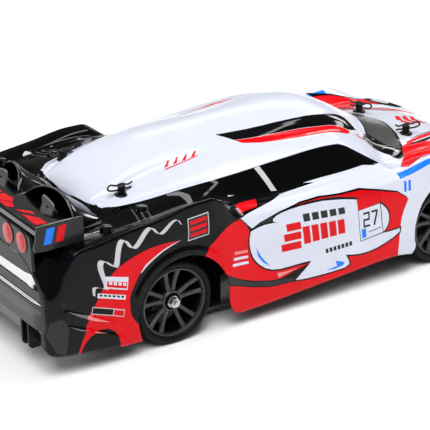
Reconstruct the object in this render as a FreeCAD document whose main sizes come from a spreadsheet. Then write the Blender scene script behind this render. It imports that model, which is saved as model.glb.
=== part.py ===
import FreeCAD, Part
import math
import os

import Sketcher
from FreeCAD import Placement, Rotation, Vector

# ---------------------------------------------------------------------------------------------
# A 1:10 four-wheel-drive drift car.  +X is forward, +Y is left, +Z is up, in millimetres.
# The origin is on the ground, under the middle of the car's overall length and width.
# ---------------------------------------------------------------------------------------------

DRIVING_DIMENSIONS = {
    # wheels
    "rear_axle_x": -118.0,
    "wheelbase": 257.0,
    "tyre_radius": 33.0,
    "tyre_width": 26.0,
    "rim_radius": 27.0,
    "rim_wall": 1.8,
    "rim_web_depth": 3.5,
    "rim_web_inset": 4.5,
    "spoke_width": 3.4,
    "hub_radius": 8.0,
    "rear_wheel_y": 82.0,
    "front_wheel_y": 79.0,
    # suspension: equal parallel arms on both axles
    "inner_pivot_y": 22.0,
    "arm_length": 44.0,
    "lower_pivot_z": 17.0,
    "upper_pivot_z": 49.0,
    "pin_radius": 1.5,
    "pin_clearance": 0.05,
    "barrel_radius": 3.0,
    "shock_y": 46.0,
    "shock_offset_x": 14.5,
    "shock_eye_z": 21.0,
    "shock_top_z": 71.0,
    "shock_barrel_radius": 5.0,
    "spring_radius": 6.3,
    "spring_wire_radius": 0.65,
    "arm_beam": 3.6,
    "bearing_offset": 5.3,
    "running_clearance": 0.06,
    # drive line
    "drive_rod_radius": 1.4,
    "drive_ball_radius": 2.4,
    "drive_cup_depth": 5.8,
    "drive_cup_radius": 4.4,
    "drive_cup_bore": 3.5,
    "axle_shaft_radius": 2.5,
    "axle_cup_radius": 4.4,
    "hex_radius": 6.0,
    "nut_radius": 3.5,
    "nut_flange_radius": 4.6,
    "spool_drum_radius": 12.5,
    "spur_x": -15.0,
    "spur_radius": 24.2,
    "pinion_radius": 9.9,
    "shaft_radius": 3.0,
    "motor_face_x": -23.0,
    "motor_y": 34.0,
    "motor_z": 27.0,
    "motor_radius": 17.8,
    "motor_length": 52.0,
    # chassis
    "plate_bottom_z": 5.0,
    "plate_thickness": 3.0,
    "plate_half_width": 72.0,
    "plate_neck": 27.0,
    "housing_half_length": 22.0,
    "housing_half_width": 18.0,
    "housing_top_z": 56.0,
    "tower_thickness": 3.0,
    "battery_rear_x": -62.0,
    "battery_right_y": -71.5,
    "battery_length": 138.0,
    "battery_width": 45.0,
    "battery_height": 25.0,
    # steering
    "steer_arm_length": 26.0,
    "steer_tip_inset": 10.0,
    "steer_arm_z": 29.5,
    "rack_z": 24.0,
    "horn_reach": 18.0,
    "rod_end_pin_radius": 1.0,
    # body shell and its fixings
    "shell_wall": 1.5,
    "rear_arch_x": -112.0,
    "rear_arch_z": 30.0,
    "rear_arch_radius": 40.3,
    "front_arch_x": 145.0,
    "front_arch_z": 35.0,
    "front_arch_radius": 39.0,
    "post_radius": 3.0,
    "post_hole_radius": 0.9,
    "rear_post_x": -130.7,
    "rear_post_y": 42.5,
    "rear_post_top": 111.3,
    "front_post_x": 148.0,
    "front_post_y": 31.0,
    "front_post_top": 96.0,
    "clip_wire_radius": 0.6,
    "clip_leg_drop": 2.6,
    "clip_loop_height": 5.2,
    "clip_leg": 7.0,
    "clip_back": 9.0,
    "wing_span": 164.0,
    "wing_chord": 36.0,
    "wing_z": 112.0,
    "wing_rear_x": -224.0,
    "wing_stay_y": 34.0,
}

doc = FreeCAD.newDocument("rc_drift_car")
sheet = doc.addObject("Spreadsheet::Sheet", "Size")
for row, (alias, value) in enumerate(DRIVING_DIMENSIONS.items(), start=1):
    sheet.set("A%d" % row, alias)
    sheet.set("B%d" % row, str(value))
    sheet.setAlias("B%d" % row, alias)
doc.recompute()

X_AXIS = Vector(1, 0, 0)
Y_AXIS = Vector(0, 1, 0)
Z_AXIS = Vector(0, 0, 1)
SIDES = {"left": 1, "right": -1}
# Heading, in degrees from +X towards +Y, in which each body clip is pulled out of its post.
CLIP_HEADING = {"rear_left": 180.0, "rear_right": 180.0, "front_left": -70.0, "front_right": -17.0}
nodes = []


def size(alias):
    """One driving dimension, read from the sheet."""
    return float(getattr(sheet, alias))


def axle_x(end):
    if end == "rear":
        return size("rear_axle_x")
    return size("rear_axle_x") + size("wheelbase")


def wheel_y(end):
    return size(end + "_wheel_y")


OUTER_PIVOT_Y = size("inner_pivot_y") + size("arm_length")
STEER_TIP_Y = OUTER_PIVOT_Y - size("steer_tip_inset")
AXLE_Z = size("tyre_radius")
PLATE_TOP = size("plate_bottom_z") + size("plate_thickness")


# ---------------------------------------------------------------------------------------------
# Building blocks
# ---------------------------------------------------------------------------------------------

def bind(obj, **sizes):
    """Bind properties to expressions; plain numbers stay plain."""
    for prop, value in sizes.items():
        if isinstance(value, str):
            obj.setExpression(prop, value)
        else:
            setattr(obj, prop, value)


def rod(radius, length, start, axis):
    """A cylinder that starts at a point and runs along an axis."""
    obj = doc.addObject("Part::Cylinder", "rod")
    bind(obj, Radius=radius, Height=length)
    obj.Placement = Placement(start, Rotation(Z_AXIS, axis))
    return obj


def centred_rod(radius, length, centre, axis):
    """A cylinder of a plain length, centred on a point."""
    return rod(radius, length, centre - axis * (length / 2.0), axis)


def block(x_range, y_range, z_range):
    """A box between pairs of coordinates."""
    obj = doc.addObject("Part::Box", "block")
    obj.Length = x_range[1] - x_range[0]
    obj.Width = y_range[1] - y_range[0]
    obj.Height = z_range[1] - z_range[0]
    obj.Placement.Base = Vector(x_range[0], y_range[0], z_range[0])
    return obj


def ball(radius, centre):
    obj = doc.addObject("Part::Sphere", "ball")
    bind(obj, Radius=radius)
    obj.Placement.Base = centre
    return obj


def fuse(pieces):
    if len(pieces) == 1:
        return pieces[0]
    obj = doc.addObject("Part::MultiFuse", "fuse")
    obj.Shapes = pieces
    return obj


def cut(base, tools):
    obj = doc.addObject("Part::Cut", "cut")
    obj.Base = base
    obj.Tool = fuse(tools)
    return obj


def shape_piece(name, shape):
    """A piece whose shape is worked out in code."""
    obj = doc.addObject("Part::Feature", name)
    obj.Shape = shape
    return obj


def node(label, obj):
    """Name a finished sub-part; it is written to a file of that name."""
    obj.Label = label
    nodes.append(obj)
    return obj


def group(label, pieces):
    """Separate identical or fixed pieces that share one node."""
    obj = doc.addObject("Part::Compound", "group")
    obj.Links = pieces
    return node(label, obj)


def mirrored_y(shape, side):
    """The same shape for the left (+1) or the right (-1) side."""
    if side > 0:
        return shape
    return shape.mirror(Vector(0, 0, 0), Y_AXIS)


def origin_plane(body, role):
    return [item for item in body.Origin.OriginFeatures if item.Role == role][0]


def polygon_sketch(body, role, corners):
    """A closed polygon on an origin plane, each corner held by two bound dimensions."""
    sketch = body.newObject("Sketcher::SketchObject", "profile")
    sketch.AttachmentSupport = [(origin_plane(body, role), "")]
    sketch.MapMode = "FlatFace"
    spots = []
    for pair in corners:
        spots.append([float(body.evalExpression(str(item))) for item in pair])
    count = len(spots)
    for index in range(count):
        start = Vector(spots[index][0], spots[index][1], 0)
        end = Vector(spots[(index + 1) % count][0], spots[(index + 1) % count][1], 0)
        sketch.addGeometry(Part.LineSegment(start, end), False)
    for index in range(count):
        sketch.addConstraint(Sketcher.Constraint("Coincident", index, 2, (index + 1) % count, 1))
    for index in range(count):
        for kind, axis in (("DistanceX", 0), ("DistanceY", 1)):
            rule = Sketcher.Constraint(kind, -1, 1, index, 1, spots[index][axis])
            held = sketch.addConstraint(rule)
            if isinstance(corners[index][axis], str):
                sketch.setExpression("Constraints[%d]" % held, corners[index][axis])
    return sketch


def turned_body(name, corners):
    """A PartDesign body turned about Y; corners are (radius, distance along Y)."""
    body = doc.addObject("PartDesign::Body", name)
    sketch = polygon_sketch(body, "XY_Plane", corners)
    turn = body.newObject("PartDesign::Revolution", "turn")
    turn.Profile = sketch
    turn.ReferenceAxis = (sketch, ["V_Axis"])
    turn.Angle = 360.0
    sketch.Visibility = False
    return body


def padded_body(name, role, corners, thickness):
    """A PartDesign body padded from one polygon along the plane's own normal."""
    body = doc.addObject("PartDesign::Body", name)
    sketch = polygon_sketch(body, role, corners)
    pad = body.newObject("PartDesign::Pad", "pad")
    pad.Profile = sketch
    bind(pad, Length=thickness)
    return body


def pocket(body, role, corners, depth, offset):
    """Cut a polygon out of a body along its plane's own normal, from an offset."""
    sketch = polygon_sketch(body, role, corners)
    sketch.AttachmentOffset = Placement(Vector(0, 0, offset), Rotation())
    hole = body.newObject("PartDesign::Pocket", "pocket")
    hole.Profile = sketch
    hole.Length = depth
    hole.Reversed = True
    return hole


# ---------------------------------------------------------------------------------------------
# Wheels: tyre, rim and driven axle
# ---------------------------------------------------------------------------------------------

def tyre(end, side_name):
    """A smooth low-profile tyre with rounded shoulders, open to the rim."""
    body = turned_body("tyre", [
        ("Size.rim_radius + 0.2", "-Size.tyre_width / 2 + 2"),
        ("Size.tyre_radius - 3", "-Size.tyre_width / 2"),
        ("Size.tyre_radius - 0.8", "-Size.tyre_width / 2 + 1.6"),
        ("Size.tyre_radius", "-Size.tyre_width / 2 + 4"),
        ("Size.tyre_radius", "Size.tyre_width / 2 - 4"),
        ("Size.tyre_radius - 0.8", "Size.tyre_width / 2 - 1.6"),
        ("Size.tyre_radius - 3", "Size.tyre_width / 2"),
        ("Size.rim_radius + 0.2", "Size.tyre_width / 2 - 2"),
    ])
    side = SIDES[side_name]
    body.Placement.Base = Vector(axle_x(end), side * wheel_y(end), AXLE_Z)
    node("tyre_%s_%s" % (end, side_name), body)


def hexagon_prism(flat_radius, start, length):
    """A hexagon, given from its axis to a flat, that runs along Y."""
    corner = flat_radius / math.cos(math.pi / 6)
    loop = Part.makePolygon([
        Vector(corner * math.cos(math.radians(a)), start, corner * math.sin(math.radians(a)))
        for a in range(0, 361, 60)])
    return Part.Face(loop).extrude(Vector(0, length, 0))


def rim(end, side_name):
    """A barrel with a ten-spoke web in five pairs and a hub with a hexagon recess."""
    side = SIDES[side_name]
    half = size("tyre_width") / 2.0
    outer = size("rim_radius") + 0.2
    wall = size("rim_wall")
    barrel = Part.makeCylinder(outer, 2 * half - 4, Vector(0, 2 - half, 0), Y_AXIS)
    barrel = barrel.cut(Part.makeCylinder(outer - wall, 2 * half, Vector(0, -half, 0), Y_AXIS))
    web_y = half - size("rim_web_inset") - size("rim_web_depth")
    depth = size("rim_web_depth")
    spokes = []
    for pair in range(5):
        for lean in (-13.0, 13.0):
            bar = Part.makeBox(outer - wall - 5.0, depth, size("spoke_width"),
                               Vector(5.5, web_y, -size("spoke_width") / 2.0))
            spokes.append(bar.rotated(Vector(0, 0, 0), Y_AXIS, 18.0 + 72.0 * pair + lean))
    hub = Part.makeCylinder(size("hub_radius"), depth + 3.0, Vector(0, web_y - 3.0, 0), Y_AXIS)
    shape = barrel.fuse([hub] + spokes)
    recess = hexagon_prism(size("hex_radius") + 0.3, web_y - 3.0, 2.0)
    bore = Part.makeCylinder(2.1, 2 * half, Vector(0, -half, 0), Y_AXIS)
    shape = shape.cut(recess).cut(bore).removeSplitter()
    obj = shape_piece("rim", mirrored_y(shape, side))
    obj.Placement.Base = Vector(axle_x(end), side * wheel_y(end), AXLE_Z)
    node("rim_%s_%s" % (end, side_name), obj)


def driven_axle(end, side_name):
    """A stub axle: drive cup, bearing length, hexagon, threaded end and its flanged nut."""
    side = SIDES[side_name]
    half = size("tyre_width") / 2.0
    web_y = wheel_y(end) + half - size("rim_web_inset") - size("rim_web_depth")
    cup_start = OUTER_PIVOT_Y - 1.5
    cup_end = OUTER_PIVOT_Y + 5.0
    cup = Part.makeCylinder(size("axle_cup_radius"), cup_end - cup_start, Vector(0, cup_start, 0), Y_AXIS)
    bore = Part.makeCylinder(size("drive_cup_bore"), size("drive_cup_depth"), Vector(0, cup_start - 0.1, 0),
                             Y_AXIS)
    cup = cup.cut(bore)
    stem = Part.makeCylinder(size("axle_shaft_radius"), 6.5, Vector(0, cup_end - 0.5, 0), Y_AXIS)
    stud = Part.makeCylinder(2.0, web_y + 10.5 - cup_end, Vector(0, cup_end, 0), Y_AXIS)
    hexagon = hexagon_prism(size("hex_radius"), web_y - 6.05, 5.0)
    nut_start = web_y + size("rim_web_depth") + 0.05
    flange = Part.makeCylinder(size("nut_flange_radius"), 1.2, Vector(0, nut_start, 0), Y_AXIS)
    nut = hexagon_prism(size("nut_radius"), nut_start + 1.0, 3.6)
    shape = cup.fuse([stem, stud, hexagon, flange, nut])
    obj = shape_piece("axle", mirrored_y(shape, side))
    obj.Placement.Base = Vector(axle_x(end), 0, AXLE_Z)
    node("axle_%s_%s" % (end, side_name), obj)


# ---------------------------------------------------------------------------------------------
# Suspension: arms, carriers, knuckles and shock absorbers
# ---------------------------------------------------------------------------------------------

def lower_arm(end, side_name):
    """An A-arm between two parallel pins, with a stub that carries the shock absorber's eye."""
    side = SIDES[side_name]
    x0 = axle_x(end)
    z0 = size("lower_pivot_z")
    inner_y = side * size("inner_pivot_y")
    outer_y = side * OUTER_PIVOT_Y
    barrel = "Size.barrel_radius"
    inner = centred_rod(barrel, 38.0, Vector(x0, inner_y, z0), X_AXIS)
    outer = centred_rod(barrel, 9.4, Vector(x0, outer_y, z0), X_AXIS)
    beams = []
    for lean in (-1, 1):
        start = Vector(x0 + lean * 16.0, inner_y, z0)
        end_point = Vector(x0 + lean * 1.8, outer_y, z0)
        run = end_point - start
        beam = doc.addObject("Part::Box", "beam")
        beam.Length = run.Length
        bind(beam, Width="Size.arm_beam", Height="Size.arm_beam")
        turn = Rotation(X_AXIS, run)
        half = size("arm_beam") / 2.0
        beam.Placement = Placement(start - turn.multVec(Vector(0, half, half)), turn)
        beams.append(beam)
    shock_x = shock_centre_x(end)
    shock_centre = Vector(shock_x, side * size("shock_y"), size("shock_eye_z"))
    lug = block(sorted_pair(x0 + shock_side(end) * 7.0, shock_x - shock_side(end) * 3.2),
                sorted_pair(side * (size("shock_y") - 3.0), side * (size("shock_y") + 3.0)),
                (z0 - 2.0, size("shock_eye_z") + 2.6))
    stub = rod("Size.pin_radius", 6.2, shock_centre - X_AXIS * (shock_side(end) * 3.6),
               X_AXIS * shock_side(end))
    bridge = block((x0 - 12.0, x0 + 12.0), sorted_pair(side * 34.0, side * 37.0), (z0 - 1.5, z0 + 1.5))
    pins = [
        centred_rod("Size.pin_radius + Size.pin_clearance", 40.0, Vector(x0, inner_y, z0), X_AXIS),
        centred_rod("Size.pin_radius + Size.pin_clearance", 12.0, Vector(x0, outer_y, z0), X_AXIS),
    ]
    node("lower_arm_%s_%s" % (end, side_name), cut(fuse([inner, outer, lug, stub, bridge] + beams), pins))


def sorted_pair(first, second):
    return (min(first, second), max(first, second))


def shock_side(end):
    """The shock absorbers stand behind the rear axle and in front of the front axle."""
    if end == "rear":
        return -1
    return 1


def upper_arm(end, side_name):
    """A camber link: a flat bar between two eyes."""
    side = SIDES[side_name]
    x0 = axle_x(end)
    z0 = size("upper_pivot_z")
    inner_y = side * size("inner_pivot_y")
    outer_y = side * OUTER_PIVOT_Y
    eyes = [centred_rod("Size.barrel_radius - 0.2", 9.4, Vector(x0, y, z0), X_AXIS)
            for y in (inner_y, outer_y)]
    bar = block((x0 - 2.5, x0 + 2.5), sorted_pair(inner_y, outer_y), (z0 - 1.5, z0 + 1.5))
    pins = [centred_rod("Size.pin_radius + Size.pin_clearance", 12.0, Vector(x0, y, z0), X_AXIS)
            for y in (inner_y, outer_y)]
    node("upper_arm_%s_%s" % (end, side_name), cut(fuse(eyes + [bar]), pins))


def carrier_ears(x0, side):
    """Ears and pins that hold a carrier between the outer eyes of its two arms."""
    pieces = []
    outer = side * OUTER_PIVOT_Y
    for lean in (-1, 1):
        ear_x = sorted_pair(x0 + lean * 5.0, x0 + lean * 8.0)
        pieces.append(block(ear_x, sorted_pair(outer - side * 3, outer + side * 3), (13.5, 22.5)))
        pieces.append(block(ear_x, sorted_pair(outer - side * 3, outer + side * 3), (43.5, 52.5)))
    for z in (size("lower_pivot_z"), size("upper_pivot_z")):
        pieces.append(centred_rod("Size.pin_radius", 16.0, Vector(x0, outer, z), X_AXIS))
    return pieces


def rear_carrier(side_name):
    """A rear hub carrier: ears, bridges and the bearing ring that the axle runs in."""
    side = SIDES[side_name]
    x0 = axle_x("rear")
    ring_y = OUTER_PIVOT_Y + size("bearing_offset")
    plates = [
        block((x0 - 8, x0 + 8), sorted_pair(side * (OUTER_PIVOT_Y - 3), side * (ring_y + 4)), (21.0, 26.5)),
        block((x0 - 8, x0 + 8), sorted_pair(side * (OUTER_PIVOT_Y - 3), side * (ring_y + 4)), (39.5, 45.0)),
    ]
    ring = rod(8.0, 4.0, Vector(x0, side * ring_y, AXLE_Z), Y_AXIS * side)
    bore = rod("Size.axle_shaft_radius + Size.running_clearance", 8.0,
               Vector(x0, side * (ring_y - 1), AXLE_Z), Y_AXIS * side)
    node("hub_carrier_rear_" + side_name, cut(fuse(carrier_ears(x0, side) + plates + [ring]), [bore]))


def front_carrier(side_name):
    """A front C-hub: its two arms hold the kingpins of the steering knuckle."""
    side = SIDES[side_name]
    x0 = axle_x("front")
    spine_y = sorted_pair(side * (OUTER_PIVOT_Y - 12), side * (OUTER_PIVOT_Y - 8.5))
    arm_y = sorted_pair(side * (OUTER_PIVOT_Y - 12), side * (OUTER_PIVOT_Y + 4))
    pieces = carrier_ears(x0, side)
    pieces.append(block((x0 - 8, x0 + 8), arm_y, (21.2, 24.4)))
    pieces.append(block((x0 - 8, x0 + 8), arm_y, (41.6, 44.8)))
    pieces.append(block((x0 - 8, x0 + 8), spine_y, (21.2, 44.8)))
    window = rod(6.0, 8.0, Vector(x0, side * (OUTER_PIVOT_Y - 14), AXLE_Z), Y_AXIS * side)
    pin_point = Vector(x0, side * OUTER_PIVOT_Y, 0)
    kingpins = [rod("Size.pin_radius", 3.4, pin_point + Z_AXIS * 24.0, Z_AXIS),
                rod("Size.pin_radius", 3.4, pin_point + Z_AXIS * 38.6, Z_AXIS)]
    frame = cut(fuse(pieces), [window])
    node("hub_carrier_front_" + side_name, fuse([frame] + kingpins))


def steering_knuckle(side_name):
    """A knuckle on two kingpins, with the bearing ring and a rearward steering arm."""
    side = SIDES[side_name]
    x0 = axle_x("front")
    ring_y = OUTER_PIVOT_Y + size("bearing_offset")
    tab_y = sorted_pair(side * (OUTER_PIVOT_Y - 3.2), side * (ring_y + 2.5))
    tip = Vector(x0 - size("steer_arm_length"), side * STEER_TIP_Y, size("steer_arm_z"))
    root = Vector(x0 - 8.0, side * (ring_y + 1.0), size("steer_arm_z"))
    arm = doc.addObject("Part::Box", "arm")
    arm.Length = (tip - root).Length + 1.5
    arm.Width = 4.0
    arm.Height = 3.0
    turn = Rotation(Z_AXIS, math.degrees(math.atan2(tip.y - root.y, tip.x - root.x)))
    arm.Placement = Placement(root - turn.multVec(Vector(0, 2, 1.5)), turn)
    pieces = [
        block((x0 - 4, x0 + 4), tab_y, (24.7, 27.8)),
        block((x0 - 4, x0 + 4), tab_y, (38.2, 41.3)),
        rod(8.5, 3.0, Vector(x0, side * ring_y, AXLE_Z), Y_AXIS * side),
        arm,
        rod("Size.pin_radius", 9.0, Vector(tip.x, tip.y, 20.0), Z_AXIS),
    ]
    king_bore = rod("Size.pin_radius + Size.pin_clearance", 30.0,
                    Vector(x0, side * OUTER_PIVOT_Y, 20.0), Z_AXIS)
    bearing = rod("Size.axle_shaft_radius + Size.running_clearance", 8.0,
                  Vector(x0, side * (ring_y - 1), AXLE_Z), Y_AXIS * side)
    node("steering_knuckle_" + side_name, cut(fuse(pieces), [king_bore, bearing]))


def shock_centre_x(end):
    return axle_x(end) + shock_side(end) * size("shock_offset_x")


def shock_body(end, side):
    """A shock absorber cylinder with a mounting eye above it and an open bore for the rod."""
    x0 = shock_centre_x(end)
    y0 = side * size("shock_y")
    top = size("shock_top_z")
    barrel = rod("Size.shock_barrel_radius", 27.0, Vector(x0, y0, top - 31.0), Z_AXIS)
    cap = rod("Size.shock_barrel_radius + 0.8", 4.0, Vector(x0, y0, top - 8.0), Z_AXIS)
    eye = centred_rod(3.2, 4.0, Vector(x0, y0, top), X_AXIS)
    bore = rod(1.6, 24.0, Vector(x0, y0, top - 32.0), Z_AXIS)
    pin_hole = centred_rod("Size.pin_radius", 8.0, Vector(x0, y0, top), X_AXIS)
    return cut(fuse([barrel, cap, eye]), [bore, pin_hole])


def shock_rod(end, side_name):
    """The rod with its lower eye and the cup that the spring stands in."""
    side = SIDES[side_name]
    x0 = shock_centre_x(end)
    y0 = side * size("shock_y")
    z0 = size("shock_eye_z")
    stem = rod("Size.pin_radius", 32.0, Vector(x0, y0, z0 + 2.6), Z_AXIS)
    eye = centred_rod(3.8, 4.0, Vector(x0, y0, z0), X_AXIS)
    seat = rod(7.0, 1.4, Vector(x0, y0, z0 + 5.0), Z_AXIS)
    hole = centred_rod("Size.pin_radius + 0.7", 8.0, Vector(x0, y0, z0), X_AXIS)
    node("shock_rod_%s_%s" % (end, side_name), cut(fuse([stem, eye, seat]), [hole]))


def spring(end, side_name):
    """A coil spring between the rod's cup and the body's collar."""
    x0 = shock_centre_x(end)
    y0 = SIDES[side_name] * size("shock_y")
    low = size("shock_eye_z") + 7.3
    high = size("shock_top_z") - 9.0
    pitch = (high - low) / 5.0
    radius = size("spring_radius")
    helix = Part.makeHelix(pitch, high - low, radius)
    ring = Part.Wire([Part.makeCircle(size("spring_wire_radius"), Vector(radius, 0, 0), Y_AXIS)])
    coil = Part.Wire(helix.Edges).makePipeShell([ring], True, True)
    coil.translate(Vector(x0, y0, low))
    node("spring_%s_%s" % (end, side_name), shape_piece("spring", coil))


# ---------------------------------------------------------------------------------------------
# Drive line
# ---------------------------------------------------------------------------------------------

def drive_shaft(end, side_name):
    """A dog-bone shaft between the differential and the stub axle."""
    side = SIDES[side_name]
    x0 = axle_x(end)
    inner = side * size("inner_pivot_y")
    outer = side * OUTER_PIVOT_Y
    bar = rod("Size.drive_rod_radius", "Size.arm_length", Vector(x0, inner, AXLE_Z), Y_AXIS * side)
    balls = [ball("Size.drive_ball_radius", Vector(x0, y, AXLE_Z)) for y in (inner, outer)]
    node("drive_shaft_%s_%s" % (end, side_name), fuse([bar] + balls))


def rear_spool():
    """A locked rear axle: a drum in the housing with an output cup on each side."""
    x0 = axle_x("rear")
    drum = centred_rod("Size.spool_drum_radius", 24.0, Vector(x0, 0, AXLE_Z), Y_AXIS)
    neck = centred_rod("Size.drive_cup_radius", 50.0, Vector(x0, 0, AXLE_Z), Y_AXIS)
    bores = []
    for side in SIDES.values():
        bores.append(rod("Size.drive_cup_bore", 10.0, Vector(x0, side * 17.6, AXLE_Z), Y_AXIS * side))
    groove = centred_rod(7.0, 60.0, Vector(x0 + 18.5, 0, AXLE_Z), Y_AXIS)
    node("rear_spool", cut(fuse([drum, neck]), bores + [groove]))


def gearbox_housing(end):
    """A housing round the axle's gears, with ears and feet that hold the arms' inner pins."""
    x0 = axle_x(end)
    towards_middle = -shock_side(end)
    half_length = size("housing_half_length")
    half_width = size("housing_half_width")
    case = block((x0 - half_length, x0 + half_length), (-half_width, half_width),
                 (PLATE_TOP, size("housing_top_z")))
    ears = []
    pins = []
    for side in SIDES.values():
        for lean in (-1, 1):
            ear_x = sorted_pair(x0 + lean * 5.0, x0 + lean * 9.0)
            ears.append(block(ear_x, sorted_pair(side * 15, side * 26), (45.0, 53.0)))
        pins.append(centred_rod("Size.pin_radius", 18.0,
                                Vector(x0, side * size("inner_pivot_y"), size("upper_pivot_z")), X_AXIS))
        inner = side * size("inner_pivot_y")
        for lean in (-1, 1):
            foot_x = sorted_pair(x0 + lean * 19.4, x0 + lean * 24.4)
            ears.append(block(foot_x, sorted_pair(side * 15, side * 26), (PLATE_TOP, 21.0)))
        pins.append(centred_rod("Size.pin_radius", 46.0, Vector(x0, inner, size("lower_pivot_z")), X_AXIS))
    drum_room = centred_rod("Size.spool_drum_radius + 1.5", 27.0, Vector(x0, 0, AXLE_Z), Y_AXIS)
    side_holes = centred_rod("Size.drive_cup_radius + 0.8", 60.0, Vector(x0, 0, AXLE_Z), Y_AXIS)
    shaft_hole = rod("Size.shaft_radius + Size.running_clearance", 40.0, Vector(x0, 0, AXLE_Z),
                     X_AXIS * towards_middle)
    return fuse([cut(fuse([case] + ears), [drum_room, side_holes, shaft_hole])] + pins)


def propeller_shaft():
    """The centre shaft that carries the spur gear, from one housing to the other."""
    rear_end = axle_x("rear") + 15.5
    front_end = axle_x("front") - 15.5
    bar = rod("Size.shaft_radius", front_end - rear_end, Vector(rear_end, 0, AXLE_Z), X_AXIS)
    gear_x = size("spur_x")
    gear = rod("Size.spur_radius", 4.0, Vector(gear_x, 0, AXLE_Z), X_AXIS)
    boss = rod(8.0, 5.0, Vector(gear_x + 3.5, 0, AXLE_Z), X_AXIS)
    window_circle = 15.5
    windows = []
    for step in range(6):
        angle = math.radians(60 * step)
        spoke = Vector(0, math.cos(angle), math.sin(angle)) * window_circle
        windows.append(rod(4.5, 8.0, Vector(gear_x - 2.0, 0, AXLE_Z) + spoke, X_AXIS))
    node("propeller_shaft", fuse([bar, boss, cut(gear, windows)]))


def motor():
    """A can motor on an upright plate that also steadies the centre shaft."""
    axis_y = size("motor_y")
    axis_z = size("motor_z")
    face_x = size("motor_face_x")
    can = rod("Size.motor_radius", "Size.motor_length",
              Vector(face_x - size("motor_length"), axis_y, axis_z), X_AXIS)
    tail = rod(6.0, 4.0, Vector(face_x - size("motor_length") - 4.0, axis_y, axis_z), X_AXIS)
    plate = block((face_x, face_x + 3.0), (-11.0, axis_y + 19.0), (PLATE_TOP, 48.0))
    foot = block((face_x - 5.0, face_x + 3.0), (-11.0, 10.0), (PLATE_TOP, PLATE_TOP + 4.0))
    spindle_hole = rod(3.0, 8.0, Vector(face_x - 2.0, axis_y, axis_z), X_AXIS)
    shaft_hole = rod("Size.shaft_radius + Size.running_clearance", 12.0, Vector(face_x - 6.0, 0, AXLE_Z),
                     X_AXIS)
    node("motor", cut(fuse([can, tail, plate, foot]), [spindle_hole, shaft_hole]))


def motor_pinion():
    """The motor's spindle and pinion gear."""
    centre = Vector(size("motor_face_x") - 1.5, size("motor_y"), size("motor_z"))
    spindle = rod(1.6, 14.5, centre, X_AXIS)
    gear = rod("Size.pinion_radius", 5.0, centre + X_AXIS * 9.0, X_AXIS)
    node("motor_pinion", fuse([spindle, gear]))


# ---------------------------------------------------------------------------------------------
# Chassis and what is fixed to it
# ---------------------------------------------------------------------------------------------

def chassis_plate():
    """A flat lower deck, narrow between the wheels, with slots that lighten it."""
    right_half = [
        (-180.0, "Size.plate_neck - 9"),
        (-164.0, "Size.plate_neck"),
        ("Size.rear_axle_x + 26", "Size.plate_neck"),
        ("Size.rear_axle_x + 43", "Size.plate_half_width"),
        (82.0, "Size.plate_half_width"),
        (100.0, "Size.plate_neck"),
        (168.0, "Size.plate_neck"),
        (190.0, "Size.plate_neck - 9"),
    ]
    corners = [(x, "-(%s)" % y) for x, y in right_half] + list(reversed(right_half))
    body = padded_body("chassis_plate", "XY_Plane", corners, "Size.plate_thickness")
    for slot in range(3):
        x0 = -52.0 + 44.0 * slot
        x1 = x0 + 30.0
        pocket(body, "XY_Plane", [(x0, -54.0), (x1, -54.0), (x1, -24.0), (x0, -24.0)], 10.0, -2.0)
    body.Placement.Base.z = size("plate_bottom_z")
    node("chassis_plate", body)


def shock_tower(end):
    """An upright plate on the housing's end, with a pin for each shock absorber's top eye."""
    x0 = axle_x(end) + shock_side(end) * size("housing_half_length")
    towards_end = shock_side(end)
    plate_x = sorted_pair(x0, x0 + towards_end * size("tower_thickness"))
    top = size("shock_top_z")
    outline = [(-18, 24), (18, 24), (24, 52), (52, 66), (52, 75), (40, 76), (14, 68),
               (-14, 68), (-40, 76), (-52, 75), (-52, 66), (-24, 52)]
    loop = Part.makePolygon([Vector(plate_x[0], y, z) for y, z in outline + outline[:1]])
    plate = Part.Face(loop).extrude(Vector(size("tower_thickness"), 0, 0))
    for side in SIDES.values():
        shock_x = shock_centre_x(end)
        length = abs(x0 - shock_x) + 3.5
        pin = Part.makeCylinder(size("pin_radius"), length,
                                Vector(x0 + towards_end, side * size("shock_y"), top), X_AXIS * -towards_end)
        plate = plate.fuse(pin)
    return shape_piece("tower", plate)


def clip_direction(end, side_name):
    """The level direction in which one clip slides out."""
    heading = math.radians(CLIP_HEADING[end + "_" + side_name])
    return Vector(math.cos(heading), math.sin(heading), 0)


def body_post(end, side_name):
    """One post on a bracket: the rear one hooks over its tower, the front one butts against it."""
    side = SIDES[side_name]
    x0 = size(end + "_post_x")
    y0 = side * size(end + "_post_y")
    top = size(end + "_post_top")
    tower_x = axle_x(end) + shock_side(end) * size("housing_half_length")
    width = (y0 - 4.0, y0 + 4.0)
    if end == "rear":
        foot = 77.0
        far_x = tower_x - size("tower_thickness")
        bracket = [block((far_x - 3.0, x0 + 4.0), width, (foot, foot + 5.0)),
                   block((far_x - 3.0, far_x), width, (foot - 14.0, foot + 5.0))]
    else:
        foot = 68.0
        bracket = [block((x0 - 4.0, tower_x), width, (foot, foot + 5.0))]
    post = rod("Size.post_radius", top - foot, Vector(x0, y0, foot), Z_AXIS)
    hole = centred_rod("Size.post_hole_radius", 10.0, Vector(x0, y0, top - size("clip_leg_drop")),
                       clip_direction(end, side_name))
    return cut(fuse([post] + bracket), [hole])


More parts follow.
